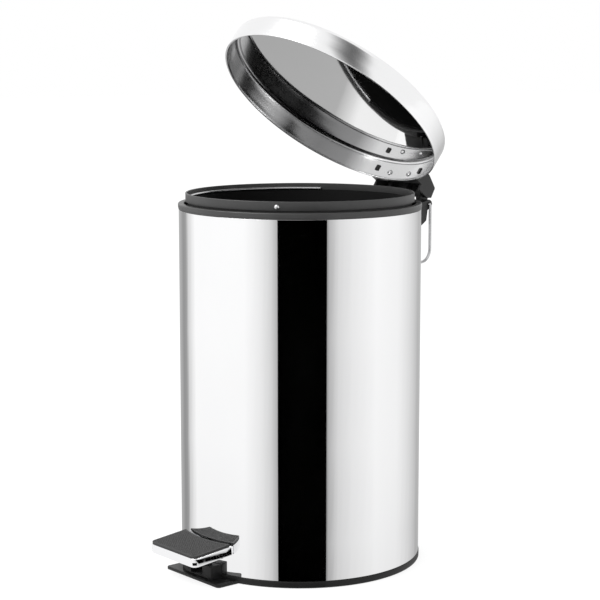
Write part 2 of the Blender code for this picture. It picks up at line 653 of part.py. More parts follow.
def make_hinge_screws():
    # driven from inside the tube; the head stands clear of the tube's curve
    edge = HINGE_SCREW_X + SCREW_HEAD_R
    seat = math.sqrt(TUBE_IN ** 2 - edge ** 2) - GAP
    z = PIN_Z - HINGE_SCREW_DROP
    for side, x in (("left", -HINGE_SCREW_X), ("right", HINGE_SCREW_X)):
        inner, tip = (x, seat - SCREW_SUNK, z), (x, TUBE_R + HINGE_SCREW_IN, z)
        screw = rod("hinge_screw_" + side, inner, tip, SCREW_R, 16)
        top = (x, seat - SCREW_HEAD_H, z)
        join(screw, rod("hinge_screw_head_" + side, top, (x, seat, z), SCREW_HEAD_R, 20))
        part(screw, STEEL)


def make_hinge_pin():
    half = BRACKET_HALF - CHEEK_W / 2
    part(rod("hinge_pin", (-half, PIN_Y, PIN_Z), (half, PIN_Y, PIN_Z), PIN_R), STEEL)


def make_handle():
    leg_x = BRACKET_HALF + HANDLE_WIRE_R + HANDLE_SIDE
    tip_x = BRACKET_HALF - CHEEK_W / 2 + GAP * 2
    low = PIN_Z - HANDLE_DROP
    corners = [(tip_x, PIN_Y, PIN_Z), (leg_x, PIN_Y, PIN_Z), (leg_x, PIN_Y, low)]
    corners += [(-x, y, z) for x, y, z in reversed(corners)]
    line = bend(corners, (HANDLE_END_BEND, HANDLE_BEND, HANDLE_BEND, HANDLE_END_BEND))
    axis = pivot("handle_pivot", (0, PIN_Y, PIN_Z))
    part(wire("carry_handle", line, HANDLE_WIRE_R), STEEL, axis)


# Linkage

def make_push_rod():
    line = bend([(-LEVER_HALF - ROD_END, ROD_Y, ROD_FOOT_Z), (ROD_X, ROD_Y, ROD_FOOT_Z),
                 (ROD_X, ROD_Y, ROD_HOOK_Z), (ROD_X, ROD_HOOK_Y, ROD_HOOK_Z),
                 (-EAR_W / 2 - HOOK_END, ROD_HOOK_Y, ROD_HOOK_Z)], (ROD_BEND, ROD_BEND, ROD_BEND), 4)
    part(wire("push_rod", line, ROD_R), STEEL)
    bore = ROD_R + SCREW_PLAY
    half = CLIP_HALF
    ring = [(CLIP_R, half), (CLIP_R, -half), (bore, -half), (bore, half)]
    clip = turned("rod_clip", ring, closed=True, steps=20)
    clip.matrix_world = (Matrix.Translation((-LEVER_HALF - CLIP_SIDE, ROD_Y, ROD_FOOT_Z))
                         @ Matrix.Rotation(math.pi / 2, 4, "Y"))
    part(clip, STEEL)


def make_rod_guide():
    guide = box("rod_guide", (ROD_X - GUIDE_HALF_W, ROD_Y - ROD_R - GUIDE_WALL, GUIDE_Z - GUIDE_HALF_H),
                (ROD_X + GUIDE_HALF_W, TUBE_R + GUIDE_WALL, GUIDE_Z + GUIDE_HALF_H))
    low, high = GUIDE_Z - LONG, GUIDE_Z + LONG
    combine(guide, rod("guide_limit", (0, 0, low), (0, 0, high), INNER_R, STEPS), "INTERSECT")
    cut(guide, rod("guide_bore", (ROD_X, ROD_Y, low), (ROD_X, ROD_Y, high), ROD_R + GAP, 16))
    part(guide, BLACK)


def under_sheet(y):
    # height just below the pedal's sheet
    fall = (SHEET_TOP.y - y) * math.tan(PEDAL_FALL)
    return SHEET_TOP.z - fall - (PEDAL_SHEET + GAP) / math.cos(PEDAL_FALL)


def make_lever(axis):
    # a channel open downwards; it goes from the rod at the back, over the pivot, to under the pedal
    tail_y = ROD_Y + HOOK_DRIFT + ROD_R + GAP + LEVER_TAIL_END
    wall_y, rise_y = -TUBE_R + LEVER_WALL_IN, SHEET_TOP.y - LEVER_MEET
    tip_y = -TUBE_R - PEDAL_OUT + LEVER_TIP_IN
    wall_low, wall_top = LEVER_AT_WALL
    top = [(tail_y, LEVER_TAIL_Z + LEVER_TAIL_H), (PIVOT_Y, PIVOT_Z + LEVER_MID), (wall_y, wall_top),
           (rise_y, under_sheet(rise_y)), (tip_y, under_sheet(tip_y))]
    bottom = [(tip_y, under_sheet(tip_y) - LEVER_TIP),
              (rise_y - LEVER_STEP, under_sheet(rise_y) - LEVER_RISE), (wall_y - LEVER_STEP, wall_low),
              (PIVOT_Y, PIVOT_Z - LEVER_MID), (tail_y, LEVER_TAIL_Z)]
    lever = plate("pedal_lever", top + bottom, 2 * LEVER_HALF, SIDE)
    past_tail, past_tip = tail_y + LONG / 2, tip_y - LONG / 2
    hollow = ([(past_tail, top[0][1] - LEVER_WALL)] + [(y, z - LEVER_WALL) for y, z in top[1:-1]]
              + [(past_tip, under_sheet(tip_y) - LEVER_WALL), (past_tip, LONG / 2), (wall_y, 0),
                 (past_tail, 0)])
    foot_r = ROD_R + GAP
    foot_slot = (arc((ROD_Y + HOOK_DRIFT, ROD_FOOT_Z), foot_r, -math.pi / 2, math.pi / 2, 8)
                 + arc((ROD_Y, ROD_FOOT_Z), foot_r, math.pi / 2, 1.5 * math.pi, 8))
    cut(lever, plate("lever_hollow", hollow, 2 * (LEVER_HALF - LEVER_WALL), SIDE),
        rod("lever_bore", (-LONG, PIVOT_Y, PIVOT_Z), (LONG, PIVOT_Y, PIVOT_Z), PIN_R + PIN_PLAY),
        plate("rod_slot", foot_slot, 2 * LONG, SIDE))
    for side, x in (("left", -1), ("right", 1)):
        cut(lever, pedal_rivet("lever_rivet_hole_" + side, x, -LONG, LONG, SCREW_R + SCREW_PLAY))
    part(lever, STEEL, axis)


def pedal_rivet(name, side, low, high, radius):
    # along the pedal sheet's normal, which points down
    x = side * PEDAL_RIVET_X
    made = rod(name, (x, PEDAL_RIVET_FORE, low), (x, PEDAL_RIVET_FORE, high), radius, 16)
    made.matrix_world = PEDAL_FRAME
    return made


def pedal_outline(inset, rear_r, corner):
    # its rear edge follows the tube's round
    half, front = PEDAL_HALF - inset, (PEDAL_OUT - PEDAL_GAP) / math.cos(PEDAL_FALL) - inset
    turn = math.asin(half / rear_r)
    seen_from_above = arc((0, 0), rear_r, -math.pi / 2 - turn, -math.pi / 2 + turn, 10)
    rear = [(x, (SHEET_TOP.y - y) / math.cos(PEDAL_FALL)) for x, y in seen_from_above]
    return (rear + arc((half - corner, front - corner), corner, 0, math.pi / 2, 5)
            + arc((-half + corner, front - corner), corner, math.pi / 2, math.pi, 5))


def make_tray(axis):
    # a pressed sheet with a skirt in front and at the sides, open towards the tube
    tray = plate("pedal_tray", pedal_outline(0, PEDAL_REAR_R, PEDAL_CORNER), PEDAL_SKIRT,
                 PEDAL_FRAME, PEDAL_SKIRT / 2)
    hollow = pedal_outline(PEDAL_SHEET, PEDAL_REAR_R - LONG / 2, PEDAL_CORNER - PEDAL_SHEET)
    cut(tray, plate("tray_hollow", hollow, PEDAL_SKIRT, PEDAL_FRAME, PEDAL_SHEET + PEDAL_SKIRT / 2))
    for side, x in (("left", -1), ("right", 1)):
        cut(tray, pedal_rivet("tray_rivet_hole_" + side, x, -LONG, LONG, SCREW_R + SCREW_PLAY))
    part(tray, CHROME, axis)


def make_pad(axis):
    outline = pedal_outline(TREAD_INSET, PEDAL_REAR_R + GAP, PEDAL_CORNER - TREAD_INSET)
    part(plate("pedal_pad", outline, TREAD, PEDAL_FRAME, -TREAD / 2 - GAP), RUBBER, axis)


def make_pedal_rivets(axis):
    grip = PEDAL_SHEET + GAP + LEVER_WALL / math.cos(PEDAL_FALL) + GAP
    for side, x in (("left", -1), ("right", 1)):
        rivet = pedal_rivet("pedal_rivet_" + side, x, GAP / 2, grip + SCREW_SUNK, SCREW_R)
        join(rivet, pedal_rivet("pedal_rivet_head_" + side, x, grip, grip + RIVET_HEAD_H, SCREW_R * 1.5))
        part(rivet, STEEL, axis)


def make_pivot():
    sheet, ear_in, ear_half = PIVOT_SHEET, LEVER_HALF + PIVOT_SIDE, PIVOT_EAR_HALF
    low = FLOOR_TOP + GAP
    bracket = box("pivot_bracket", (-PIVOT_HALF, PIVOT_Y - PIVOT_DEPTH, low),
                  (PIVOT_HALF, PIVOT_Y + PIVOT_DEPTH, low + sheet))
    for side, x in (("left", -1), ("right", 1)):
        outline = ([(PIVOT_Y - ear_half, low + sheet / 2), (PIVOT_Y + ear_half, low + sheet / 2)]
                   + arc((PIVOT_Y, PIVOT_Z), ear_half, 0, math.pi, 8))
        join(bracket, plate("pivot_ear_" + side, outline, sheet, SIDE, x * (ear_in + sheet / 2)))
        at = (x * BRACKET_SCREW_X, PIVOT_Y)
        cut(bracket, rod("pivot_screw_hole_" + side, (*at, 0), (*at, LONG), SCREW_R + SCREW_PLAY, 16))
    past = PIVOT_HALF + LONG
    cut(bracket, rod("pivot_bore", (-past, PIVOT_Y, PIVOT_Z), (past, PIVOT_Y, PIVOT_Z), PIN_R + PIN_PLAY))
    part(bracket, STEEL)

    ear_out = ear_in + sheet + GAP
    half = ear_out + PIN_HEAD_H / 2
    pin = rod("lever_pin", (-half, PIVOT_Y, PIVOT_Z), (half, PIVOT_Y, PIVOT_Z), PIN_R)
    for side, x in (("left", -1), ("right", 1)):
        ends = [(x * at, PIVOT_Y, PIVOT_Z) for at in (ear_out, ear_out + PIN_HEAD_H)]
        join(pin, rod("pin_head_" + side, *ends, PIN_HEAD_R, 20))
    part(pin, STEEL)
    seat = low + sheet + GAP
    for side, x in (("left", -1), ("right", 1)):
        at = (x * BRACKET_SCREW_X, PIVOT_Y)
        tip = FLOOR_TOP - BRACKET_SCREW_DEPTH + SCREW_SUNK
        screw = rod("bracket_screw_" + side, (*at, tip), (*at, seat + SCREW_SUNK), SCREW_R, 16)
        head_top = (*at, seat + SCREW_HEAD_H)
        join(screw, rod("bracket_screw_head_" + side, (*at, seat), head_top, SCREW_HEAD_R * 0.9, 20))
        part(screw, STEEL)


clear_scene()
PARTS = collection("pedal_bin")
TOOLS = collection("cutters")
BLACK = material("black_plastic", (0.02, 0.02, 0.02), 0.45, 0.0)
RUBBER = material("black_rubber", (0.03, 0.03, 0.03), 0.75, 0.0)
POLISHED = material("polished_steel", (0.8, 0.8, 0.8), 0.08, 1.0)
CHROME = material("chrome", (0.85, 0.85, 0.86), 0.12, 1.0)
STEEL = material("plain_steel", (0.6, 0.6, 0.6), 0.3, 1.0)

make_base()
make_tube()
make_collar()
make_bucket()
make_bail()

LID_AXIS = pivot("lid_pivot", (0, PIN_Y, PIN_Z))
make_lid(LID_AXIS)
make_lid_bracket(LID_AXIS)
make_lid_rivets(LID_AXIS)
LID_AXIS.rotation_euler.x = -LID_OPEN
make_hinge_bracket()
make_hinge_screws()
make_hinge_pin()
make_handle()

PEDAL_AXIS = pivot("pedal_pivot", (0, PIVOT_Y, PIVOT_Z))
make_lever(PEDAL_AXIS)
make_tray(PEDAL_AXIS)
make_pad(PEDAL_AXIS)
make_pedal_rivets(PEDAL_AXIS)
make_pivot()
make_push_rod()
make_rod_guide()
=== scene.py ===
import json
import math

import bmesh
import bpy
import numpy as np
from mathutils import Matrix, Vector


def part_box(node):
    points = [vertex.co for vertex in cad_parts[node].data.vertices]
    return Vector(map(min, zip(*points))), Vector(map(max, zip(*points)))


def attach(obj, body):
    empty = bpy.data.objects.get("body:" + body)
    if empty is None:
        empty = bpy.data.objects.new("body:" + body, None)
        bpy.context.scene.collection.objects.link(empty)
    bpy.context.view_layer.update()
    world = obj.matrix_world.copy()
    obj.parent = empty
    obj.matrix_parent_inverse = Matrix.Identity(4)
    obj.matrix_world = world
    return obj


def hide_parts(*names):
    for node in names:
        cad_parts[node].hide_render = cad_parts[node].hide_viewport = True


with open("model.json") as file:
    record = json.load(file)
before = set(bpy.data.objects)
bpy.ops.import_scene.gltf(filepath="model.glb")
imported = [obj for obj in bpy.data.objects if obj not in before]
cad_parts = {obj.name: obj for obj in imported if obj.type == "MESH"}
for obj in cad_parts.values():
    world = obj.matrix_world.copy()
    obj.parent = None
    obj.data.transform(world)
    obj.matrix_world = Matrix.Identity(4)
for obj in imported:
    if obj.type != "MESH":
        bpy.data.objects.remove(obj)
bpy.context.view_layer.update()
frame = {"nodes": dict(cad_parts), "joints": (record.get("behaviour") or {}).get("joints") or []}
print("frame loaded:", len(frame["nodes"]), "parts")

# places taken from the frame
joints = {joint["name"]: joint for joint in frame["joints"]}
tubeLow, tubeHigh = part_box("body_shell")
collarLow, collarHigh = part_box("collar")
bucketLow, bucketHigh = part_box("bucket")
baseLow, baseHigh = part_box("base")
tubeRadius = tubeHigh.x
hingePin = Vector(joints["lid_hinge"]["pos_m"])
leverPin = Vector(joints["pedal_pivot"]["pos_m"])
openAngle = math.radians(-joints["lid_hinge"]["range_deg"][0])

gap = 0.0003          # between pieces that touch
steelSheet = 0.0008   # the room that the tube's wall takes between its neighbours
tubeBore = tubeRadius - steelSheet - gap
past = 0.01           # how far a cutting shape reaches past the piece
pole = 0.0001         # innermost ring of a turned solid, filled in afterwards

# takes the closed lid to where it stands open
openLid = Matrix.Translation(hingePin) @ Matrix.Rotation(-openAngle, 4, "X") @ Matrix.Translation(-hingePin)


def closedBox(node):
    # a lid part's lowest and highest corners with the lid shut
    back = openLid.inverted()
    points = np.array([back @ vertex.co for vertex in frame["nodes"][node].data.vertices])
    return Vector(points.min(0)), Vector(points.max(0))


class Signal:
    # one socket of a material; operators on it add Math nodes
    def __init__(self, finish, socket):
        self.finish = finish
        self.socket = socket

    def maths(self, operation, *values):
        return self.finish.add("ShaderNodeMath", {"operation": operation}, dict(enumerate(values)))

    def __add__(self, other):
        return self.maths("ADD", self, other)

    def __radd__(self, other):
        return self.maths("ADD", other, self)

    def __sub__(self, other):
        return self.maths("SUBTRACT", self, other)

    def __rsub__(self, other):
        return self.maths("SUBTRACT", other, self)

    def __mul__(self, other):
        return self.maths("MULTIPLY", self, other)

    def __rmul__(self, other):
        return self.maths("MULTIPLY", other, self)

    def __truediv__(self, other):
        return self.maths("DIVIDE", self, other)

    def __rtruediv__(self, other):
        return self.maths("DIVIDE", other, self)


class Finish:
    # a material round one Principled shader
    def __init__(self, name, colour, metallic, roughness, **fixed):
        self.material = bpy.data.materials.new(name)
        self.material.use_nodes = True
        self.material.diffuse_color = (*colour, 1)
        self.tree = self.material.node_tree
        self.shader = self.tree.nodes["Principled BSDF"]
        self.feed("Base Color", (*colour, 1))
        self.feed("Metallic", metallic)
        self.feed("Roughness", roughness)
        for socket, value in fixed.items():
            self.feed(socket.replace("_", " "), value)

    def add(self, kind, settings=None, sockets=None, out=0):
        node = self.tree.nodes.new(kind)
        for key, value in (settings or {}).items():
            if key == "stops":
                self.setStops(node.color_ramp, value)
            else:
                setattr(node, key, value)
        for key, value in (sockets or {}).items():
            self.plug(node.inputs[key], value)
        return Signal(self, node.outputs[out])

    def setStops(self, ramp, stops):
        while len(ramp.elements) < len(stops):
            ramp.elements.new(1)
        for element, (place, shade) in zip(ramp.elements, stops):
            element.position = place
            element.color = (shade, shade, shade, 1)

    def plug(self, socket, value):
        if isinstance(value, Signal):
            self.tree.links.new(value.socket, socket)
        else:
            socket.default_value = value

    def feed(self, name, value):
        self.plug(self.shader.inputs[name], value)

    def noise(self, scale, stretch=(1, 1, 1), detail=3, where=None, rough=0.5):
        where = self.place(stretch) if where is None else where
        sockets = {"Vector": where, "Scale": scale, "Detail": detail, "Roughness": rough}
        return self.add("ShaderNodeTexNoise", {}, sockets)

    def ramp(self, value, stops):
        return self.add("ShaderNodeValToRGB", {"stops": stops}, {"Fac": value})

    def tint(self, amount, low, high):
        # from colour `low` to `high`; sockets 6, 7 and output 2 are the node's colours
        colours = {0: amount, 6: (*low, 1), 7: (*high, 1)}
        return self.add("ShaderNodeMix", {"data_type": "RGBA"}, colours, out=2)

    def bump(self, height, strength, distance):
        sockets = {"Height": height, "Strength": strength, "Distance": distance}
        self.feed("Normal", self.add("ShaderNodeBump", {}, sockets))

    def place(self, scale=(1, 1, 1)):
        # the piece's own coordinates in metres, stretched
        coords = self.add("ShaderNodeTexCoord", out="Object")
        return self.add("ShaderNodeMapping", {}, {"Vector": coords, "Scale": scale})

    def placeXYZ(self):
        coords = self.add("ShaderNodeTexCoord", out="Object")
        split = self.add("ShaderNodeSeparateXYZ", {}, {"Vector": coords})
        return [Signal(self, output) for output in split.socket.node.outputs]

    def polar(self):
        # (angle round z in turns, radius, height) of the piece's own coordinates
        x, y, z = self.placeXYZ()
        angle = x.maths("ARCTAN2", y, x) / (2 * math.pi)
        radius = x.maths("SQRT", x * x + y * y)
        return angle, radius, z

    def joined(self, x, y, z):
        return self.add("ShaderNodeCombineXYZ", {}, {"X": x, "Y": y, "Z": z})


def grey(shade):
    return (shade, shade, shade)


def mirrorSteel(name, rough, smear, brush, colour=(0.86, 0.86, 0.865)):
    # polished stainless: faint polishing lines round the piece and smears along it
    steel = Finish(name, colour, 1.0, rough)
    angle, radius, height = steel.polar()
    lines = steel.noise(1, detail=2, where=steel.joined(angle * 6, radius * 900, height * 900))
    smears = steel.noise(9, (1, 1, 0.35), 4, rough=0.6)
    steel.feed("Roughness", rough + lines * brush + steel.ramp(smears, ((0.45, 0), (0.75, smear))))
    low, high = [c * 0.96 for c in colour], [min(1, c * 1.03) for c in colour]
    steel.feed("Base Color", steel.tint(smears, low, high))
    return steel


def tubeSteel():
    steel = mirrorSteel("mirror steel of the tube", 0.012, 0.035, 0.012)
    steel.bump(steel.noise(26, (1, 1, 0.3), 1), 0.10, 0.0002)
    return steel


plateDish = dict(start=0.06, lean=0.3)


def lidPlateSteel():
    # the plate is dished a little: flat at one side, leaning at the other
    steel = mirrorSteel("mirror steel inside the lid", 0.03, 0.03, 0.02, grey(0.84))
    across = steel.placeXYZ()[0]
    dish = across.maths("MAXIMUM", across + plateDish["start"], 0.0)
    steel.bump(dish * dish * -plateDish["lean"], 1.0, 1.0)
    return steel


def lidOutSteel():
    steel = Finish("satin steel of the lid", (0.88, 0.88, 0.885), 1.0, 0.16)
    angle, radius, height = steel.polar()
    brush = steel.noise(1, detail=3, where=steel.joined(angle * 10, radius * 1500, height * 1500))
    steel.feed("Roughness", 0.11 + brush * 0.10)
    steel.bump(brush, 0.10, 0.0001)
    return steel


# painted reflection and shade: how bright the lid's wall is painted, by turns round it from +X
wallPaintedReflection = ((0, 1), (0.31, 1), (0.345, 0.3), (0.39, 0.2), (0.44, 0.3), (0.48, 0.8), (0.53, 0.75),
             (0.57, 0.35), (0.62, 0.5), (0.72, 1))


def lidWallSteel():
    # painted reflection and shade: the wall's colour is darker in bands towards the left, from the hinge's
    # side round to the front
    steel = Finish("drawn steel inside the lid's wall", (0.74, 0.74, 0.745), 1.0, 0.2)
    angle, radius, height = steel.polar()
    brush = steel.noise(1, detail=3, where=steel.joined(angle * 14, radius * 1200, height * 1600))
    blotch = steel.noise(30, (1, 1, 0.5), 3)
    steel.feed("Roughness", 0.12 + brush * 0.1 + blotch * 0.06)
    # the ramp paints reflection and shade into the wall's colour by angle round it
    shine = steel.ramp(angle.maths("FRACT", angle + 1), wallPaintedReflection)
    steel.feed("Base Color", steel.tint(shine, (0.10, 0.10, 0.102), (0.78, 0.78, 0.785)))
    steel.bump(brush, 0.16, 0.00012)
    return steel


def brightChrome():
    chrome = Finish("bright chrome", (0.88, 0.88, 0.89), 1.0, 0.07)
    wear = chrome.noise(160, detail=4)
    chrome.feed("Roughness", 0.05 + chrome.ramp(wear, ((0.5, 0), (0.8, 0.16))))
    chrome.bump(chrome.noise(900, detail=2), 0.05, 0.0001)
    return chrome


def zincPlate():
    zinc = Finish("zinc plated steel", (0.62, 0.63, 0.64), 1.0, 0.32)
    spangle = zinc.add("ShaderNodeTexVoronoi", {}, {"Vector": zinc.place(), "Scale": 420}, out="Color")
    flecks = zinc.add("ShaderNodeRGBToBW", {}, {"Color": spangle})
    dull = zinc.noise(60, detail=4)
    zinc.feed("Roughness", 0.24 + flecks * 0.12 + dull * 0.12)
    zinc.feed("Base Color", zinc.tint(dull, (0.50, 0.51, 0.52), (0.70, 0.71, 0.72)))
    zinc.bump(zinc.noise(1500, detail=2), 0.08, 0.0001)
    return zinc


def drawnWire():
    wire = Finish("drawn steel wire", (0.60, 0.60, 0.61), 1.0, 0.2)
    streak = wire.noise(700, (1, 1, 0.06), 3)
    soil = wire.noise(90, detail=3)
    wire.feed("Roughness", 0.13 + streak * 0.14)
    wire.feed("Base Color", wire.tint(soil, (0.46, 0.46, 0.465), (0.72, 0.72, 0.73)))
    wire.bump(streak, 0.1, 0.00008)
    return wire


def brightBolt():
    bolt = Finish("bright fasteners", (0.72, 0.72, 0.73), 1.0, 0.16)
    rub = bolt.noise(500, detail=4)
    bolt.feed("Roughness", 0.09 + rub * 0.16)
    bolt.feed("Base Color", bolt.tint(rub, (0.58, 0.58, 0.585), (0.8, 0.8, 0.81)))
    bolt.bump(bolt.noise(2600, detail=2), 0.06, 0.00006)
    return bolt


# name, shade, roughness and specular level of each moulding's plastic
plastics = dict(plastic=("black moulded plastic", 0.030, 0.36, 0.5),
                basePlastic=("black plastic of the base", 0.010, 0.4, 0.2),
                bucket=("black bucket plastic", 0.030, 0.40, 0.5),
                # the bucket's inside is the bucket's plastic made darker: painted shade
                bucketIn=("black plastic inside the bucket", 0.003, 0.5, 0.1),
                bracket=("black bracket plastic", 0.022, 0.42, 0.3))


def mouldedPlastic(name, shade, gloss, shine):
    # a fine matt grain, with clouds and scuffs
    plastic = Finish(name, grey(shade), 0.0, gloss, Specular_IOR_Level=shine)
    grain = plastic.noise(3200, detail=2)
    cloud = plastic.noise(45, detail=5, rough=0.65)
    scuff = plastic.ramp(plastic.noise(170, (1, 1, 0.4), 5, rough=0.7), ((0.58, 0), (0.78, 1)))
    worn = cloud * 0.6 + scuff * 0.25
    plastic.feed("Base Color", plastic.tint(worn, grey(shade * 0.75), grey(shade * 1.9)))
    plastic.feed("Roughness", gloss + (cloud * 0.14 - 0.06) + scuff * 0.08)
    plastic.bump(grain + cloud * 0.2, 0.22, 0.00012)
    return plastic


def treadRubber(shade=0.03):
    rubber = Finish("black tread rubber", grey(shade), 0.0, 0.6, Specular_IOR_Level=0.35)
    dust = rubber.noise(70, detail=5, rough=0.7)
    rubber.feed("Base Color", rubber.tint(dust, grey(shade * 0.6), grey(shade * 1.7)))
    rubber.feed("Roughness", 0.46 + dust * 0.22)
    rubber.bump(rubber.noise(2600, detail=2), 0.25, 0.0001)
    return rubber


finishes = dict(tube=tubeSteel(), lidPlate=lidPlateSteel(), lidOut=lidOutSteel(), lidIn=lidWallSteel(),
                chrome=brightChrome(), zinc=zincPlate(), wire=drawnWire(), bolt=brightBolt(),
                rubber=treadRubber())
finishes.update((key, mouldedPlastic(*values)) for key, values in plastics.items())
print("finishes made:", len(finishes))


def creased(mesh, degrees):
    mesh.set_sharp_from_angle(angle=math.radians(degrees))


def piece(name, mesh, looks, body, stands=(), matrix=None, sharp=35):
    # a finished piece: its materials, body and the parts that it stands for
    made = tool(name, mesh, matrix)
    for look in looks:
        mesh.materials.append(finishes[look].material)
    mesh.shade_smooth()
    creased(mesh, sharp)
    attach(made, body)
    if stands:
        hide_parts(*stands)
    return made


def tool(name, mesh, matrix=None):
    # an object in the scene; a tool that cuts or joins another goes with that step
    made = bpy.data.objects.new(name, mesh)
    bpy.context.scene.collection.objects.link(made)
    if matrix is not None:
        made.matrix_world = matrix
    return made


def meshOf(name, bm, weld=True):
    if weld:
        bmesh.ops.remove_doubles(bm, verts=bm.verts, dist=1e-7)
    bmesh.ops.recalc_face_normals(bm, faces=bm.faces)
    mesh = bpy.data.meshes.new(name)
    bm.to_mesh(mesh)
    bm.free()
    return mesh


def surface(points, wrapRows=False, wrapColumns=False, keep=None, region=None):
    # a quad skin over rows of points; `keep` leaves windows open, `region` gives each row's material
    bm = bmesh.new()
    rows, columns = len(points), len(points[0])
    grid = [[bm.verts.new(point) for point in row] for row in points]
    for i in range(rows if wrapRows else rows - 1):
        for j in range(columns if wrapColumns else columns - 1):
            if keep is not None and not keep(i, j):
                continue
            down, across = (i + 1) % rows, (j + 1) % columns
            face = bm.faces.new((grid[i][j], grid[down][j], grid[down][across], grid[i][across]))
            if region is not None:
                face.material_index = region(i)
    return bm


def arc(centre, radius, start, end, count=6):
    # points round a centre, between two angles in degrees
    start, end = math.radians(start), math.radians(end)
    return [(centre[0] + radius * math.cos(start + (end - start) * i / count),
             centre[1] + radius * math.sin(start + (end - start) * i / count)) for i in range(count + 1)]


def evenAngles(count, *extra):
    # angles in radians round a turn, with extra ones at the edges of windows
    step = 2 * math.pi / count
    even = [i * step for i in range(count)]
    extra = [angle % (2 * math.pi) for angle in extra]
    kept = [a for a in even if all(abs(a - e) > step * 0.25 for e in extra)]
    return sorted(kept + extra)


def lathe(profile, angles, closed=False, **options):
    points = [[(r * math.cos(a), r * math.sin(a), z) for a in angles] for r, z in profile]
    return surface(points, wrapRows=closed, wrapColumns=True, **options)


def capped(bm):
    # closes the open ends of a turned skin
    edges = [edge for edge in bm.edges if edge.is_boundary]
    bmesh.ops.holes_fill(bm, edges=edges, sides=0)
    return bm


def turnedMesh(name, profile, count):
    # a solid of revolution about z, from a profile of (radius, height) that starts and ends at its pole
    return meshOf(name, capped(lathe(profile, evenAngles(count))))


def sheetMetal(made, thickness, lip=0.0):
    # gives a skin its thickness, inwards, and softens the cut edges by `lip`
    solid = made.modifiers.new("sheet", "SOLIDIFY")
    solid.thickness = thickness
    solid.offset = -1
    solid.use_quality_normals = True
    if lip:
        softEdges(made, lip, 2, 60)


def softEdges(made, width, segments=2, angle=40):
    bevel = made.modifiers.new("soft edges", "BEVEL")
    bevel.width = width
    bevel.segments = segments
    bevel.limit_method = "ANGLE"
    bevel.angle_limit = math.radians(angle)
    bevel.harden_normals = True
    bevel.use_clamp_overlap = True


def roundedLine(points, radii, count=8):
    # rounds the corners of a line in space; radii is one value for each inner point
    points = [Vector(point) for point in points]
    line = [points[0]]
    for before, here, after, radius in zip(points, points[1:], points[2:], radii):
        back, on = (before - here).normalized(), (after - here).normalized()
        half = back.angle(on) / 2
        middle = here + (back + on).normalized() * (radius / math.sin(half))
        first = here + back * (radius / math.tan(half)) - middle
        last = here + on * (radius / math.tan(half)) - middle
        sweep = first.angle(last)
        for i in range(count + 1):
            t = i / count
            blend = first * math.sin((1 - t) * sweep) + last * math.sin(t * sweep)
            line.append(middle + blend / math.sin(sweep))
    line.append(points[-1])
    return line


def rodAlong(line, radius, sides=16, endRound=0.4):
    # a round wire along a line, its cut ends slightly rounded; `endRound` is a share of the radius
    line = [Vector(point) for point in line]
    last = len(line) - 1
    tangents = [(line[min(i + 1, last)] - line[max(i - 1, 0)]).normalized() for i in range(len(line))]
    side = tangents[0].orthogonal().normalized()
    soft = radius * endRound
    endRings = ((0, soft), (soft * 0.3, soft * 0.3), (soft, 0))    # (in from the end, off the radius)
    turns = [2 * math.pi * k / sides for k in range(sides)]
    rows = []
    for i, (centre, tangent) in enumerate(zip(line, tangents)):
        side = (side - tangent * side.dot(tangent)).normalized()
        other = tangent.cross(side)
        if i == 0:
            rings = [(centre + tangent * inward, radius - off) for inward, off in endRings]
        elif i == last:
            rings = [(centre - tangent * inward, radius - off) for inward, off in reversed(endRings)]
        else:
            rings = [(centre, radius)]
        for middle, r in rings:
            rows.append([middle + side * (r * math.cos(turn)) + other * (r * math.sin(turn))
                         for turn in turns])
    return capped(surface(rows, wrapColumns=True))


def extruded(outline, low, high):
    # a flat outline made into a slab between two heights
    bm = bmesh.new()
    bottom = [bm.verts.new((x, y, low)) for x, y in outline]
    top = [bm.verts.new((x, y, high)) for x, y in outline]
    bm.faces.new(bottom)
    bm.faces.new(top)
    for i in range(len(outline)):
        j = (i + 1) % len(outline)
        bm.faces.new((bottom[i], bottom[j], top[j], top[i]))
    return bm


def appliedMesh(made):
    # a new mesh with the object's modifiers in it
    bpy.context.view_layer.update()
    graph = bpy.context.evaluated_depsgraph_get()
    return bpy.data.meshes.new_from_object(made.evaluated_get(graph))


def carve(made, other, operation="DIFFERENCE"):
    # one Boolean step, applied at once so that no tool is left over
    step = made.modifiers.new("carve", "BOOLEAN")
    step.operation = operation
    step.object = other
    mesh = appliedMesh(made)
    made.modifiers.remove(step)
    old = made.data
    made.data = mesh
    bpy.data.meshes.remove(old)
    bpy.data.objects.remove(other)


def boxTool(low, high, matrix=None):
    low, high = Vector(low), Vector(high)
    bm = bmesh.new()
    bmesh.ops.create_cube(bm, size=1)
    bmesh.ops.scale(bm, vec=high - low, verts=bm.verts)
    bmesh.ops.translate(bm, vec=(low + high) / 2, verts=bm.verts)
    return tool("boxTool", meshOf("boxTool", bm), matrix)


def rodTool(start, end, radius, sides=32):
    return tool("rodTool", meshOf("rodTool", rodAlong([start, end], radius, sides, 0.0001)))


def finePart(node, name, look, body, slot, edge):
    # a CAD part's own shape with its flat faces merged and its edges softened
    angle = 30
    bm = bmesh.new()
    bm.from_mesh(frame["nodes"][node].data)
    bmesh.ops.remove_doubles(bm, verts=bm.verts, dist=2e-6)
    bmesh.ops.dissolve_limit(bm, angle_limit=math.radians(0.6), verts=bm.verts, edges=bm.edges)
    made = piece(name, meshOf(name, bm), [look], body, [node], sharp=angle)
    softEdges(made, edge, 2, angle)


tube = dict(wall=0.0006, columns=224, rows=12, lip=0.00018, gateHalf=0.0095, gateTop=0.039,
            hookDrop=0.0172, hookRoom=0.0025, rodGateLeft=-0.009, rodGateRight=0.016,
            seamHalf=0.0005, seamDepth=0.00012)


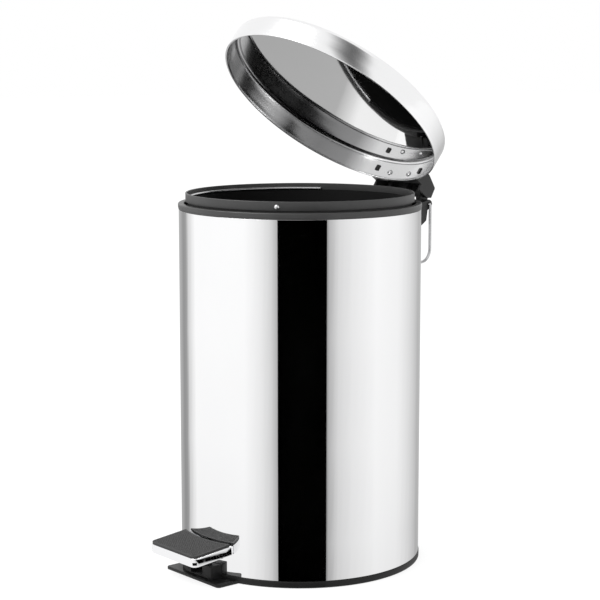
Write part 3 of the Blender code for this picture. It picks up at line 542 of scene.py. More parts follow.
def makeTube():
    # one sheet rolled and welded at the back, with the lever's gate in front and the rod's gate behind
    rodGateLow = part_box("push_rod")[1].z - tube["hookDrop"] - tube["hookRoom"]
    front = math.asin(tube["gateHalf"] / tubeRadius)
    gates = [(1.5 * math.pi - front, 1.5 * math.pi + front, tubeLow.z - 1, tube["gateTop"]),
             (math.pi / 2 - math.asin(tube["rodGateRight"] / tubeRadius),
              math.pi / 2 - math.asin(tube["rodGateLeft"] / tubeRadius), rodGateLow, tubeHigh.z + 1)]
    seam = tube["seamHalf"] / tubeRadius
    seamAngles = [math.pi / 2 + seam * side for side in (-2, -1, 0, 1, 2)]
    angles = evenAngles(tube["columns"], *[a for gate in gates for a in gate[:2]], *seamAngles)
    evenRows = {tubeLow.z + (tubeHigh.z - tubeLow.z) * i / tube["rows"] for i in range(1, tube["rows"])}
    heights = sorted({tubeLow.z, tubeHigh.z, tube["gateTop"], rodGateLow} | evenRows)

    def place(angle, height):
        off = abs(angle - math.pi / 2) / seam
        radius = tubeRadius - (tube["seamDepth"] if off < 1.5 else 0)
        return (radius * math.cos(angle), radius * math.sin(angle), height)

    def keep(i, j):
        height = (heights[i] + heights[i + 1]) / 2
        after = angles[(j + 1) % len(angles)]
        middle = (angles[j] + (after if after > angles[j] else after + 2 * math.pi)) / 2
        return not any(a < middle < b and low < height < high for a, b, low, high in gates)

    points = [[place(angle, height) for angle in angles] for height in heights]
    mesh = meshOf("tube", surface(points, wrapColumns=True, keep=keep))
    made = piece("tube", mesh, ["tube"], "stand", ["body_shell"])
    sheetMetal(made, tube["wall"], tube["lip"])


makeTube()
print("tube made")


collar = dict(depth=0.0055, soft=0.0011, skirtWall=0.002, columns=192, step=0.0004, lipLow=0.0018,
              stepTop=0.0014, bevel=0.0002, toe=0.0006, gateRoom=0.0005)


def makeCollar():
    outer, inner = collarHigh.x, tubeRadius - collar["depth"]
    soft, top, low = collar["soft"], collarHigh.z, collarLow.z
    wall, bevel, toe = collar["skirtWall"], collar["bevel"], collar["toe"]
    seat = tubeHigh.z + gap
    innerSoft = soft * 0.6
    face = outer - collar["step"]
    profile = (arc((inner + innerSoft, top - innerSoft), innerSoft, 180, 90, 5)
               + arc((outer - soft, top - soft), soft, 90, 0, 8)
               + [(outer, seat + collar["lipLow"]), (face, seat + collar["stepTop"]), (face, seat + bevel),
                  (face - bevel, seat), (tubeBore, seat), (tubeBore, low + toe), (tubeBore - toe, low),
                  (tubeBore - wall, low), (tubeBore - wall, seat - toe), (inner, seat + wall)])
    mesh = meshOf("collar_ring", lathe(profile, evenAngles(collar["columns"]), closed=True))
    made = piece("collar_ring", mesh, ["plastic"], "stand", ["collar"])
    carve(made, boxTool((tube["rodGateLeft"], bucketHigh.x + collar["gateRoom"], low - past),
                        (tube["rodGateRight"], outer + past, top + past)))
    creased(made.data, 32)


bucket = dict(wall=0.0018, taper=0.0075, columns=192, lip=0.0005, ledge=0.0026, ledgeGap=0.0004, soft=0.0004,
              footSoft=0.003, footRing=0.010, footSlope=0.001, footLift=0.0006, innerSoft=0.004,
              floorWall=0.0022, gateMark=0.02,
              bailRadius=0.0014, bailInset=0.0036)
bailAxis = Vector(joints["bail_swing"]["axis"])
bailTurn = math.atan2(-bailAxis.y, -bailAxis.x)
bailHeight = joints["bail_swing"]["pos_m"][2]


def makeBucket():
    # the rim stands out over a narrower pail; the step between them, inside, carries the bail
    top, low, radius = bucketHigh.z, bucketLow.z, bucketHigh.x
    foot, pail = radius - bucket["taper"], radius - bucket["ledge"]
    lip, wall, soft = bucket["lip"], bucket["wall"], bucket["soft"]
    footSoft, footRing, footLift = bucket["footSoft"], bucket["footRing"], bucket["footLift"]
    mark, floorTop = bucket["gateMark"], low + bucket["floorWall"]
    innerSoft = bucket["innerSoft"]
    shelf = bailHeight - bucket["bailRadius"] - bucket["ledgeGap"]
    under = shelf - wall
    outer = (arc((radius - lip, top - lip), lip, 90, 0, 4)
             + arc((radius - soft, under + soft), soft, 0, -90, 3)
             + [(pail + soft, under), (pail, under - soft)]
             + arc((foot - footSoft, low + footSoft), footSoft, 0, -90, 6)
             + [(foot - footRing, low), (foot - footRing - bucket["footSlope"], low + footLift),
                (mark, low + footLift)])
    inner = ([(mark, floorTop)] + arc((foot - wall - innerSoft, low + wall + innerSoft), innerSoft, -90, 0, 6)
             + [(pail - wall, shelf - soft)] + arc((pail - wall + soft, shelf - soft), soft, 135, 90, 2)
             + [(radius - wall - soft, shelf), (radius - wall, shelf + soft)]
             + arc((radius - wall + lip, top - lip), lip, 180, 90, 4))
    # the inner rows take the darker plastic, painted shade for the bucket's hollow
    rim = len(outer) + len(inner) - 6
    bm = lathe(outer + inner, evenAngles(bucket["columns"]), closed=True,
               region=lambda i: 1 if len(outer) <= i < rim else 0)
    mesh = meshOf("bucket_pail", bm)
    made = piece("bucket_pail", mesh, ["bucket", "bucketIn"], "bucket", ["bucket"])
    # the round mark that moulding leaves in the floor fills the turned solid's middle
    plug = turnedMesh("bucket_gate_mark", [(mark + pole, low + footLift), (mark + pole, floorTop)], 48)
    # the mark takes the inside's darker plastic, painted shade
    piece("bucket_gate_mark", plug, ["bucketIn"], "bucket")
    along = Vector((math.cos(bailTurn), math.sin(bailTurn), 0)) * (radius + past)
    up = Vector((0, 0, bailHeight))
    carve(made, rodTool(up - along, up + along, bucket["bailRadius"] + gap))
    creased(made.data, 35)


bail = dict(endOut=0.0004, endTurn=math.radians(2.5), columns=72,
            head=((pole, 0.0012), (0.0008, 0.00117), (0.0016, 0.00095), (0.0023, 0.0005), (0.00252, 0.0002),
                  (0.0025, 0), (pole, 0)))


def makeBail():
    # a level half loop inside the rim; its ends go out through the rim to flat heads
    radius = bucketHigh.x
    loop = radius - bucket["bailInset"]
    outEnd = radius + gap + bail["endOut"]
    ends = [(r * math.cos(bailTurn), r * math.sin(bailTurn), bailHeight) for r in (outEnd, loop)]
    turns = np.linspace(bailTurn - bail["endTurn"], bailTurn - math.pi + bail["endTurn"], bail["columns"])
    line = ends + [(loop * math.cos(a), loop * math.sin(a), bailHeight) for a in turns]
    line += [(-x, -y, z) for x, y, z in reversed(ends)]
    mesh = meshOf("bail_wire", rodAlong(line, bucket["bailRadius"]))
    piece("bail_wire", mesh, ["wire"], "bail", ["bucket_bail"])
    for side, angle in (("front", bailTurn), ("back", bailTurn + math.pi)):
        matrix = (Matrix.Translation((0, 0, bailHeight)) @ Matrix.Rotation(angle, 4, "Z")
                  @ Matrix.Rotation(math.pi / 2, 4, "Y"))
        profile = [(r, radius + gap + height) for r, height in bail["head"]]
        name = "bail_head_" + side
        piece(name, turnedMesh(name, profile, 32), ["bolt"], "bail", matrix=matrix)


makeCollar()
makeBucket()
makeBail()
print("collar, bucket and bail made")


lid = dict(wall=0.0006, columns=216, crown=0.004, crownRings=14, shoulder=0.005, curl=0.0009, flange=0.003,
           tabX=0.033, tabUp=0.012, tabWidth=0.005, tabHeight=0.007, poleRadius=0.0008, plateInset=0.0006,
           foldRoom=0.001)


def lidSkin():
    # crown, shoulder, skirt with two windows for the bracket's tabs, curl and folded flange
    low, high = closedBox("lid_shell")
    radius, rim = high.x, low.z
    top = high.z - lid["crown"]
    flat = radius - lid["shoulder"]
    spread = [lid["poleRadius"]] + [flat * (i / lid["crownRings"]) for i in range(1, lid["crownRings"])]
    crown = [(r, top + lid["crown"] * (1 - (r / flat) ** 2)) for r in spread]
    shoulder = arc((flat, top - lid["shoulder"]), lid["shoulder"], 88, 0, 8)
    tabLow, tabHigh = rim + lid["tabUp"] - lid["tabHeight"] / 2, rim + lid["tabUp"] + lid["tabHeight"] / 2
    curl = arc((radius - lid["curl"], rim + lid["curl"]), lid["curl"], 0, -180, 8)
    flange = [(radius - 2 * lid["curl"], rim + lid["flange"])]
    profile = crown + shoulder + [(radius, tabHigh), (radius, tabLow)] + curl + flange
    tabs = [math.pi / 2 - math.asin(x * lid["tabX"] / radius) for x in (1, -1)]
    half = lid["tabWidth"] / 2 / radius
    angles = evenAngles(lid["columns"], *[tab + half * side for tab in tabs for side in (-1, 1)])
    tabRow = len(crown) + len(shoulder)

    def keep(i, j):
        middle = (angles[j] + angles[(j + 1) % len(angles)]) / 2
        return not (i == tabRow and any(abs(middle - tab) < half for tab in tabs))

    bm = lathe(profile, angles, keep=keep)
    middle = [edge for edge in bm.edges if edge.is_boundary
              and all(vertex.co.xy.length < lid["poleRadius"] * 1.25 for vertex in edge.verts)]
    bmesh.ops.holes_fill(bm, edges=middle, sides=0)
    return meshOf("lid_cap", bm, weld=False)


def makeLid():
    low, high = closedBox("lid_shell")
    radius, rim = high.x, low.z
    skin = lidSkin()
    looks = ["lidOut", "lidPlate", "lidIn"]
    made = piece("lid_cap", skin, looks, "lid", ["lid_shell"], openLid, sharp=50)
    sheetMetal(made, lid["wall"])
    sheet = appliedMesh(made)
    made.modifiers.clear()
    made.data = sheet
    # the inner face: mirror plate in the middle, drawn wall and flange round it
    plateEdge = radius - lid["shoulder"] - lid["plateInset"]
    for polygon in sheet.polygons:
        inner = polygon.index >= len(skin.polygons)
        reach, height = polygon.center.xy.length, polygon.center.z
        wall = inner and height > rim + lid["curl"]
        folded = reach < radius - lid["curl"] * 1.5 and height < rim + lid["flange"] + lid["foldRoom"]
        flange = not inner and folded
        if inner and reach < plateEdge:
            polygon.material_index = 1
        else:
            polygon.material_index = 2 if wall or flange else 0
    sheet.shade_smooth()
    creased(sheet, 50)


# (radius, distance from the start) of the head and the shank, and (radius, distance from the end) of the tail
rivet = dict(inset=0.0004,
             head=((pole, 0.0004), (0.0006, 0.0003), (0.0009, 0), (0.0016, 0.0001), (0.0025, 0.0004),
                   (0.00295, 0.0008), (0.003, 0.001), (0.0015, 0.001)),
             tail=((0.0015, 0.001), (0.0024, 0.001), (0.0024, 0.0005), (0.002, 0.0001), (0.001, 0),
                   (pole, 0)))


def makeLidRivets():
    # domed heads with a small set mark inside, rolled tails outside
    for side in ("left", "right"):
        low, high = closedBox("lid_rivet_" + side)
        middle = (low + high) / 2
        turn = math.atan2(middle.x, middle.y)
        reach = Vector((middle.x, middle.y)).length
        half = (high.y - low.y) / math.cos(turn) / 2 - rivet["inset"]
        profile = ([(r, reach - half + out) for r, out in rivet["head"]]
                   + [(r, reach + half - inward) for r, inward in rivet["tail"]])
        matrix = (openLid @ Matrix.Translation((0, 0, middle.z)) @ Matrix.Rotation(math.pi / 2 - turn, 4, "Z")
                  @ Matrix.Rotation(math.pi / 2, 4, "Y"))
        node = "lid_rivet_" + side
        mesh = turnedMesh("rivet", profile, 32)
        piece(node + "_set", mesh, ["bolt"], "lid", [node], matrix)


makeLid()
makeLidRivets()
print("lid made")


# the part, its piece's name, finish, body and slot, and how far its edges are softened
for fine in (("lid_bracket", "lid_hinge_cover", "bracket", "lid", "black_plastic", 0.0005),
             ("hinge_bracket", "hinge_holder", "bracket", "stand", "black_plastic", 0.0005),
             ("rod_guide", "rod_clamp", "plastic", "stand", "black_plastic", 0.0004),
             ("pivot_bracket", "lever_bracket", "zinc", "stand", "plated_steel", 0.0003),
             ("pedal_lever", "foot_lever", "zinc", "pedal", "plated_steel", 0.0003)):
    finePart(*fine)

screw = dict(headHeight=0.0018, headRound=0.0006, headEdge=0.0001, domeReach=0.5, domeHeight=0.97,
             shank=0.0015, point=0.45, crossReach=0.62, crossWidth=0.0009, crossDepth=0.0011,
             threadStart=0.0008, threadEnd=0.002, threadPitch=0.0009, threadRise=0.45, threadDepth=0.00022)


def screwMesh(headR, length):
    # a pan head with a cross recess, and a threaded shank; the axis is z, the head's underside at z = 0
    headH, soft, shank = screw["headHeight"], screw["headRound"], screw["shank"]
    root, pitch = shank - screw["threadDepth"], screw["threadPitch"]
    edge, rise = screw["headEdge"], screw["threadRise"]
    profile = [(pole, headH), (headR * screw["domeReach"], headH * screw["domeHeight"])]
    profile += arc((headR - soft, headH - soft), soft, 70, 0, 5)
    profile += [(headR, edge), (headR - edge, 0), (shank, 0)]
    for i in range(int((length - screw["threadEnd"]) / pitch)):
        z = -screw["threadStart"] - i * pitch
        profile += [(root, z), (shank, z - pitch * rise)]
    profile += [(root, -length + screw["threadStart"]), (shank * screw["point"], -length), (pole, -length)]
    made = tool("screw", turnedMesh("screw", profile, 40))
    reach, half, floor = headR * screw["crossReach"], screw["crossWidth"] / 2, headH - screw["crossDepth"]
    for turn in (0, math.pi / 2):
        cross = Matrix.Rotation(turn, 4, "Z")
        carve(made, boxTool((-reach, -half, floor), (reach, half, headH + past), cross))
    mesh = made.data.copy()
    bpy.data.objects.remove(made)
    return mesh


def makeScrews():
    # the hinge's screws point backwards from inside the tube, the lever bracket's down into the base
    headH = screw["headHeight"]
    for node in ("hinge_screw_left", "hinge_screw_right", "bracket_screw_left", "bracket_screw_right"):
        low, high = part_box(node)
        middle = (low + high) / 2
        if node.startswith("hinge"):
            place = Matrix.Translation((middle.x, low.y + headH, middle.z))
            matrix = place @ Matrix.Rotation(math.pi / 2, 4, "X")
            length = high.y - low.y - headH
        else:
            matrix = Matrix.Translation((middle.x, middle.y, high.z - headH))
            length = high.z - headH - low.z
        mesh = screwMesh((high.x - low.x) / 2, length)
        piece(node + "_pan", mesh, ["bolt"], "stand", [node], matrix)


# the lever pin's head: shares of its radius, and distances in from its end
pins = dict(leverRadius=0.002, headDepth=0.0012, head=((0.6, 0.0001), (0.92, 0.0004), (1, 0.0008)))


def makePins():
    low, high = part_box("hinge_pin")
    line = [(low.x, hingePin.y, hingePin.z), (high.x, hingePin.y, hingePin.z)]
    mesh = meshOf("lid_hinge_pin", rodAlong(line, (high.z - low.z) / 2, 32))
    piece("lid_hinge_pin", mesh, ["bolt"], "stand", ["hinge_pin"])
    low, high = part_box("lever_pin")
    headR, half = (high.z - low.z) / 2, high.x
    head = [(pole, half)] + [(headR * share, half - inward) for share, inward in pins["head"]]
    head += [(headR, half - pins["headDepth"]), (pins["leverRadius"], half - pins["headDepth"])]
    profile = head + [(r, -z) for r, z in reversed(head)]
    matrix = Matrix.Translation(leverPin) @ Matrix.Rotation(math.pi / 2, 4, "Y")
    mesh = turnedMesh("lever_pivot_pin", profile, 40)
    piece("lever_pivot_pin", mesh, ["bolt"], "stand", ["lever_pin"], matrix)


makeScrews()
makePins()
print("brackets, screws and pins made")


wires = dict(handleRadius=0.0016, handleBend=0.017, handleTip=0.0329, tipBend=0.0018, rodRadius=0.0015,
             rodBend=0.003, rodHookEnd=-0.0055, nutGap=0.0002, nutSoft=0.0002)


def makeHandle():
    low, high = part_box("carry_handle")
    radius, bend, tipBend = wires["handleRadius"], wires["handleBend"], wires["tipBend"]
    legX, foot = high.x - radius, low.z + radius
    tip = wires["handleTip"]
    y, z = hingePin.y, hingePin.z
    corners = [(tip, y, z), (legX, y, z), (legX, y, foot), (-legX, y, foot), (-legX, y, z), (-tip, y, z)]
    line = roundedLine(corners, (tipBend, bend, bend, tipBend), 14)
    mesh = meshOf("carrying_wire", rodAlong(line, radius))
    piece("carrying_wire", mesh, ["wire"], "handle", ["carry_handle"])


def makePushRod():
    low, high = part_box("push_rod")
    radius = wires["rodRadius"]
    x, y = high.x - radius, low.y + radius
    footZ, hookZ, hookY = low.z + radius, high.z - radius, high.y - radius
    corners = [(low.x, y, footZ), (x, y, footZ), (x, y, hookZ), (x, hookY, hookZ),
               (wires["rodHookEnd"], hookY, hookZ)]
    mesh = meshOf("lifting_rod", rodAlong(roundedLine(corners, (wires["rodBend"],) * 3, 10), radius))
    piece("lifting_rod", mesh, ["wire"], "rod", ["push_rod"])


def makePushNut():
    low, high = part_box("rod_clip")
    middle, half = (low + high) / 2, (high.x - low.x) / 2
    outer, inner, soft = (high.z - low.z) / 2, wires["rodRadius"] + wires["nutGap"], wires["nutSoft"]
    profile = (arc((outer - soft, half - soft), soft, 90, 0, 3)
               + arc((outer - soft, -half + soft), soft, 0, -90, 3) + [(inner, -half), (inner, half)])
    mesh = meshOf("rod_push_nut", lathe(profile, evenAngles(48), closed=True))
    matrix = Matrix.Translation(middle) @ Matrix.Rotation(math.pi / 2, 4, "Y")
    piece("rod_push_nut", mesh, ["bolt"], "rod", ["rod_clip"], matrix)


makeHandle()
makePushRod()
makePushNut()
print("wires made")


base = dict(ringHeight=0.0067, floorTop=0.005, upstand=0.022, wall=0.002, footWidth=0.0096, footLift=0.002,
            padRadius=0.034, ribRadius=0.096, columns=192, soft=0.0012,
            upstandSoft=0.0004, upstandDrop=0.0005, cutTop=0.04, laneTop=0.06,
            laneRoom=0.004, laneFloor=0.001, laneWall=0.0006, laneRib=0.003,
            rodLane=0.005, rodLaneOut=0.0002, over=0.001, ribs=12, ribHalf=0.0009, ribLow=0.0006,
            hole=0.004, plugGap=0.00002, plugInset=0.0002, plugSoft=0.0003)
tongue = dict(half=0.044, top=0.003, corner=0.004, rear=0.012, soft=0.0005)
block = dict(half=0.024, out=0.0115, rear=0.006, top=0.016, soft=0.0009, gateLift=0.0005, seatLift=0.0001)


def baseRing():
    # the turned part: foot ring, upstand inside the tube, rib ring under the bucket, floor and centre pad
    ring, inner, rib, wall = baseHigh.x, tubeBore, base["ribRadius"], base["wall"]
    top, floorTop, upstand = base["ringHeight"], base["floorTop"], base["upstand"]
    foot, lift, pad, hole = base["footWidth"], base["footLift"], base["padRadius"], base["hole"]
    seat = bucketLow.z - gap
    soft, halfSoft, thin = base["soft"], base["soft"] * 0.5, base["upstandSoft"]
    profile = ([(hole, floorTop), (rib - wall, floorTop), (rib - wall, seat), (rib, seat), (rib, floorTop),
                (inner - wall, floorTop), (inner - wall, upstand), (inner - thin, upstand),
                (inner, upstand - base["upstandDrop"]), (inner, top), (tubeRadius, top)]
               + arc((ring - halfSoft, top - halfSoft), halfSoft, 90, 0, 4)
               + arc((ring - soft, soft), soft, 0, -90, 5)
               + [(ring - foot, 0), (ring - foot, lift), (pad, lift), (pad, 0), (hole, 0)])
    mesh = meshOf("base_mould", lathe(profile, evenAngles(base["columns"]), closed=True))
    return piece("base_mould", mesh, ["basePlastic"], "stand", ["base"])


def addTongue(made):
    # the flat tongue under the pedal, and the block with the lever's gate
    half, corner, front = tongue["half"], tongue["corner"], baseLow.y
    rear = -tubeRadius + tongue["rear"]
    outline = ([(half, rear), (-half, rear)] + arc((-half + corner, front + corner), corner, 180, 270, 6)
               + arc((half - corner, front + corner), corner, 270, 360, 6))
    plate = tool("tongue", meshOf("tongue", extruded(outline, 0, tongue["top"])))
    softEdges(plate, tongue["soft"], 2, 50)
    carve(made, plate, "UNION")
    half, blockFront = block["half"], -tubeRadius - block["out"]
    lump = boxTool((-half, blockFront, tongue["top"] / 2), (half, -tubeRadius + block["rear"], block["top"]))
    softEdges(lump, block["soft"], 3, 50)
    seat = (0, 0, base["ringHeight"] + block["seatLift"])
    carve(lump, rodTool(seat, (0, 0, base["cutTop"]), tubeRadius + gap, base["columns"]))
    carve(made, lump, "UNION")


def cutLanes(made):
    # the lever's way through the block, the upstand and the rib ring, and the push rod's behind
    gate, wall, rib = tube["gateHalf"], base["wall"], base["ribRadius"]
    floorTop, cutTop, lane = base["floorTop"], base["cutTop"], tube["gateHalf"] + base["laneRoom"]
    blockFront = -tubeRadius - block["out"]
    floor, over, laneRib = floorTop + base["laneFloor"], base["over"], base["laneRib"]
    carve(made, boxTool((-gate, blockFront - past, tongue["top"] + block["gateLift"]),
                        (gate, -tubeBore + 2 * wall, cutTop)))
    carve(made, boxTool((-lane, -tubeRadius, floor),
                        (lane, -tubeBore + wall + base["laneWall"], base["laneTop"])))
    for start, end in ((-rib - over, -rib + wall + laneRib), (rib - wall - laneRib, rib + over)):
        carve(made, boxTool((-lane, start, floor), (lane, end, bucketLow.z - gap + past)))
    carve(made, boxTool((-gate - base["rodLane"], rib, floorTop),
                        (tube["rodGateRight"], tubeRadius + base["rodLaneOut"], cutTop)))


def makeBase():
    made = baseRing()
    addTongue(made)
    cutLanes(made)
    over, ribHalf = base["over"], base["ribHalf"]
    start, end = base["padRadius"] - over, baseHigh.x - base["footWidth"] + over
    for k in range(base["ribs"]):
        # stiffening ribs under the floor, out from the centre pad
        turn = Matrix.Rotation(2 * math.pi * (k + 0.5) / base["ribs"], 4, "Z")
        rib = boxTool((start, -ribHalf, base["ribLow"]), (end, ribHalf, base["footLift"] + over), turn)
        carve(made, rib, "UNION")
    creased(made.data, 35)
    # a plug fills the turned part's middle
    edge, inset = base["hole"] + base["plugGap"], base["plugInset"]
    mesh = turnedMesh("base_sprue_plug", [(edge, inset), (edge, base["floorTop"] - inset)], 32)
    plug = piece("base_sprue_plug", mesh, ["basePlastic"], "stand")
    softEdges(plug, base["plugSoft"])


makeBase()
print("base made")


pedal = dict(half=0.038, frontOut=0.043, gap=0.0024, fall=math.radians(6), skirt=0.009, sheet=0.001,
             corner=0.006, bend=0.0012, bendSteps=5, flatInset=0.004, rearColumns=16, lip=0.0002,
             toe=0.001, toeIn=0.0002, slotWide=0.0045, slotHigh=0.003, slotDown=0.62,
             slotIn=0.006, slotOut=0.003,
             rivetFore=0.0219, rivetX=0.0042, rivetRadius=0.0015, leverSheet=0.0015)
tread = dict(thick=0.002, inset=0.0012, pitch=0.0022, knob=0.00055, knobTop=0.82, knobSlope=0.28,
             knobFoot=0.9, border=0.0016, fade=0.0006, steps=6, rearRoom=0.007, frontRoom=0.008, spare=4,
             bottom=0.003)
rearRadius = tubeRadius + pedal["gap"]
pedalDepth = (pedal["frontOut"] - pedal["gap"]) / math.cos(pedal["fall"])


def pedalFrame():
    # x across, y forwards along the sheet, z down through it; on the sheet's top at its rear edge
    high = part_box("pedal_pad")[1]
    fall = pedal["fall"]
    corner = math.sqrt((rearRadius + gap) ** 2 - (pedal["half"] - tread["inset"]) ** 2)
    top = high.z - (tread["thick"] + gap) / math.cos(fall) - (rearRadius - corner) * math.tan(fall)
    return Matrix.Translation((0, -rearRadius, top)) @ Matrix.Rotation(math.pi + fall, 4, "X")


def treadOutline(inset, rearR, corner):
    # pad or sheet, seen from above in the pedal's frame
    half, front = pedal["half"] - inset, pedalDepth - inset
    turn = math.degrees(math.asin(half / rearR))
    hollow = arc((0, 0), rearR, -90 - turn, -90 + turn, pedal["rearColumns"])
    rear = [(x, (-rearRadius - y) / math.cos(pedal["fall"])) for x, y in hollow]
    return (rear + arc((half - corner, front - corner), corner, 0, 90, 8)
            + arc((-half + corner, front - corner), corner, 90, 180, 8))


def trayRow(inset, drop, corner):
    return [(x, y, drop) for x, y in treadOutline(inset, rearRadius, corner)]


def makeTray():
    # a pressed sheet: top, rounded edge and skirt in front and at the sides, open towards the tube
    bend, skirt, corner = pedal["bend"], pedal["skirt"], pedal["corner"]
    rows = [trayRow(bend + pedal["flatInset"], 0, corner - bend)]
    for k in range(pedal["bendSteps"] + 1):
        turn = math.pi / 2 * k / pedal["bendSteps"]
        inset = bend * (1 - math.sin(turn))
        rows.append(trayRow(inset, bend * (1 - math.cos(turn)), corner - inset))
    rows.append(trayRow(0, skirt - pedal["toe"], corner))
    rows.append(trayRow(pedal["toeIn"], skirt, corner))
    bm = surface(rows, wrapColumns=True, keep=lambda i, j: j >= pedal["rearColumns"] or i == 0)
    bm.verts.ensure_lookup_table()
    bm.faces.new(bm.verts[:len(rows[0])])
    mesh = meshOf("foot_plate", bm)
    matrix = pedalFrame()
    made = piece("foot_plate", mesh, ["chrome"], "pedal", ["pedal_tray"], matrix, sharp=40)
    if sum(polygon.normal.z * polygon.area for polygon in mesh.polygons) > 0:
        mesh.flip_normals()
    sheetMetal(made, pedal["sheet"], pedal["lip"])
    # a small slot through the skirt, at its front right corner
    wide, high = pedal["slotWide"], pedal["slotHigh"]
    slotPlace = (Matrix.Translation((pedal["half"], pedalDepth, skirt * pedal["slotDown"]))
                 @ Matrix.Rotation(math.radians(-45), 4, "Z"))
    carve(made, boxTool((-wide / 2, -pedal["slotIn"], -high / 2), (wide / 2, pedal["slotOut"], high / 2),
                        matrix @ slotPlace))
    made.modifiers.clear()


def knobHeight(x, y):
    # small square knobs on a grid that stands cornerwise
    u, v = (x + y) / math.sqrt(2), (x - y) / math.sqrt(2)
    pitch = tread["pitch"]
    edge = max(abs((u / pitch) % 1 - 0.5) * 2, abs((v / pitch) % 1 - 0.5) * 2)
    return tread["knob"] * min(1, max(0, (tread["knobTop"] - edge) / tread["knobSlope"]))


def makePad():
    # a slab with a knobbed top, trimmed to the tread's outline
    half, depth, inset = pedal["half"], pedalDepth, tread["inset"]
    rearR = rearRadius + gap
    step = tread["pitch"] / tread["steps"]
    top = -tread["thick"] - gap
    low = tread["knob"] * tread["knobFoot"]
    rows = []
    for i in range(int((depth + tread["frontRoom"]) / step) + tread["spare"]):
        y = -tread["rearRoom"] + i * step
        row = []
        for j in range(int(2 * half / step) + tread["spare"]):
            x = -half - step + j * step
            rear = (math.sqrt(max(0, rearR ** 2 - x * x)) - rearRadius) / math.cos(pedal["fall"])
            inside = min(half - inset - abs(x), depth - inset - y, y - rear) - tread["border"]
            blend = min(1, max(0, inside / tread["fade"]))
            row.append((x, y, top + low - knobHeight(x, y) * blend - low * (1 - blend)))
        rows.append(row)
    bm = surface(rows)
    border = [edge for edge in bm.edges if edge.is_boundary]
    skirt = bmesh.ops.extrude_edge_only(bm, edges=border)["geom"]
    for vertex in skirt:
        if isinstance(vertex, bmesh.types.BMVert):
            vertex.co.z = tread["bottom"]
    slab = tool("slab", meshOf("slab", capped(bm)))
    outline = treadOutline(inset, rearR, pedal["corner"] - inset)
    trim = tool("trim", meshOf("trim", extruded(outline, top - 0.001, -gap)))
    carve(slab, trim, "INTERSECT")
    mesh = slab.data.copy()
    bpy.data.objects.remove(slab)
    mesh.materials.clear()
    piece("foot_tread", mesh, ["rubber"], "pedal", ["pedal_pad"], pedalFrame(), sharp=28)


# (radius, distance below the lever's sheet) of the rivet's rolled tail
rolledTail = ((0.00225, 0), (0.0022, 0.0005), (0.0016, 0.0009), (0.0008, 0.001), (pole, 0.001))


def makePedalRivets():
    radius = pedal["rivetRadius"]
    low = pedal["sheet"] + gap + pedal["leverSheet"] / math.cos(pedal["fall"]) + gap
    profile = [(pole, gap / 2), (radius, gap / 2), (radius, low)]
    profile += [(r, low + down) for r, down in rolledTail]
    for side, x in (("left", -pedal["rivetX"]), ("right", pedal["rivetX"])):
        node = "pedal_rivet_" + side
        matrix = pedalFrame() @ Matrix.Translation((x, pedal["rivetFore"], 0))
        mesh = turnedMesh(node, profile, 28)
        piece(node + "_set", mesh, ["bolt"], "pedal", [node], matrix)


makeTray()
makePad()
makePedalRivets()
print("pedal made")


studio = dict(floorSize=14, floorDrop=0.0002, white=1.0,
              azimuth=50, distance=1.7907, height=0.5326, pitch=8.318, lens=104.43, sensor=36)
# brightness that the tube mirrors, by degrees round it from the side that faces the camera
shades = ((-88, 0.95), (-84.5, 0.95), (-83, 0.46), (-76, 0.4), (-71, 0.3), (-67, 0.34), (-64, 0.68), (-57, 1),
          (-26, 1), (-18, 0.86), (-13.5, 0.7), (-11, 0.52), (-10.1, 0.45), (-10, 0), (12, 0), (12.1, 0.3),
          (13, 0.48), (17.5, 0.72), (24, 0.84), (37, 0.97), (51, 0.93), (60, 0.78), (66, 0.66), (74, 0.46),
          (88, 0.5))
reflector = dict(reach=(0, 0.15, 0.6, 1.5, 4, 10), start=0.0012, lift=0.0005, near=1.0, far=1.16, turnStep=4)
panel = dict(azimuth=70, elevation=45, distance=1.6, width=1.0, height=2.2, shade=0.1, aim=(0.08, 0, 0.52))
lamp = dict(azimuth=-70, elevation=50, distance=2.2, size=1.2, power=30, aim=(0, 0, 0.25))


def stageLook(name, shade, glow):
    return Finish(name, grey(shade), 0.0, 0.9, Specular_IOR_Level=0.0, Emission_Color=(1, 1, 1, 1),
                  Emission_Strength=glow)


def makeFloor():
    bm = bmesh.new()
    bmesh.ops.create_grid(bm, x_segments=1, y_segments=1, size=studio["floorSize"])
    made = tool("floor", meshOf("floor", bm), Matrix.Translation((0, 0, -studio["floorDrop"])))
    made.data.materials.append(stageLook("pale floor", 0.25, 0.8).material)


def onlyMirrored(made, values):
    # glows by a shade at each vertex, and is seen only in glossy surfaces
    colours = made.data.color_attributes.new("shade", "FLOAT_COLOR", "POINT")
    for item, value in zip(colours.data, values):
        item.color = (value, value, value, 1)
    look = stageLook(made.name, 0.0, 1.0)
    look.feed("Emission Color", look.add("ShaderNodeAttribute", {"attribute_name": "shade"}, out="Color"))
    made.data.materials.append(look.material)
    made.visible_camera = False
    made.visible_diffuse = False
    made.visible_shadow = False
    made.visible_transmission = False


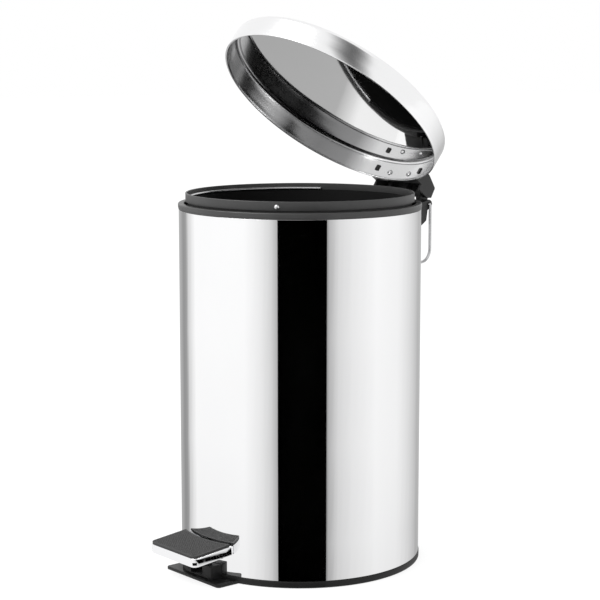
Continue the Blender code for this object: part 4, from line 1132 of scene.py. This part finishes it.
def makeReflector():
    # a graded sheet on the floor; each strip of it lies where one upright line of the tube mirrors
    # the floor, so it shades the tube from side to side
    view = math.radians(studio["azimuth"])
    facing = Vector((math.sin(view), -math.cos(view), 0))
    across = Vector((math.cos(view), math.sin(view), 0))
    eye = facing * studio["distance"]
    reach = reflector["reach"]
    turns, brightness = zip(*shades)
    rows, values = [], []
    for turn in sorted(set(turns) | set(range(-88, 89, reflector["turnStep"]))):
        angle = math.radians(turn)
        normal = facing * math.cos(angle) + across * math.sin(angle)
        start = normal * (tubeRadius + reflector["start"])
        ray = (start - eye).normalized()
        away = ray - normal * (2 * ray.dot(normal))
        rows.append([start + away * far + Vector((0, 0, reflector["lift"])) for far in reach])
        shade = float(np.interp(turn, turns, brightness))
        nearness = [1 / (1 + 2 * far) for far in reach]
        values += [shade * (reflector["near"] * n + reflector["far"] * (1 - n)) for n in nearness]
    bm = surface(rows)
    mesh = bpy.data.meshes.new("reflector")
    bm.to_mesh(mesh)
    bm.free()
    onlyMirrored(tool("graded reflector", mesh), values)


def backFrom(azimuth, elevation):
    # the direction out from the subject, in degrees round it and up
    turn, rise = math.radians(azimuth), math.radians(elevation)
    return Vector((math.sin(turn) * math.cos(rise), -math.cos(turn) * math.cos(rise), math.sin(rise)))


def makePanel():
    # a soft panel over the lid's right side, darkest in its middle; it glows and is seen only in glossy
    # surfaces, to paint a darker reflection band on the lid
    count = 12
    width, height = panel["width"], panel["height"]
    rows = [[(width * (i / count - 0.5), height * (j / count - 0.5), 0) for j in range(count + 1)]
            for i in range(count + 1)]
    back = backFrom(panel["azimuth"], panel["elevation"])
    aim = back.to_track_quat("Z", "Y").to_matrix().to_4x4()
    matrix = Matrix.Translation(Vector(panel["aim"]) + back * panel["distance"]) @ aim
    made = tool("soft panel", meshOf("panel", surface(rows)), matrix)
    values = []
    for vertex in made.data.vertices:
        near = max(0, 1 - (2 * vertex.co.x / width) ** 2) * max(0, 1 - (2 * vertex.co.y / height) ** 2)
        values.append(1 + (panel["shade"] - 1) * near)
    onlyMirrored(made, values)


def makeWorld():
    world = bpy.data.worlds.new("studio")
    bpy.context.scene.world = world
    world.use_nodes = True
    background = world.node_tree.nodes["Background"]
    background.inputs["Color"].default_value = (1, 1, 1, 1)
    background.inputs["Strength"].default_value = studio["white"]


def makeLamp():
    data = bpy.data.lights.new("key", "AREA")
    data.shape = "SQUARE"
    data.size = lamp["size"]
    data.energy = lamp["power"]
    back = backFrom(studio["azimuth"] + lamp["azimuth"], lamp["elevation"])
    made = tool("key", data)
    made.location = back * lamp["distance"] + Vector(lamp["aim"])
    made.rotation_mode = "QUATERNION"
    made.rotation_quaternion = back.to_track_quat("Z", "Y")


def makeCamera():
    data = bpy.data.cameras.new("camera")
    data.lens = studio["lens"]
    data.sensor_width = studio["sensor"]
    turn, distance = math.radians(studio["azimuth"]), studio["distance"]
    made = tool("camera", data)
    made.location = (distance * math.sin(turn), -distance * math.cos(turn), studio["height"])
    made.rotation_euler = (math.radians(90 - studio["pitch"]), 0, turn)
    bpy.context.scene.camera = made


makeFloor()
makeWorld()
makeReflector()
makePanel()
makeLamp()
makeCamera()
bpy.context.scene.view_settings.view_transform = "Standard"
print("studio made")
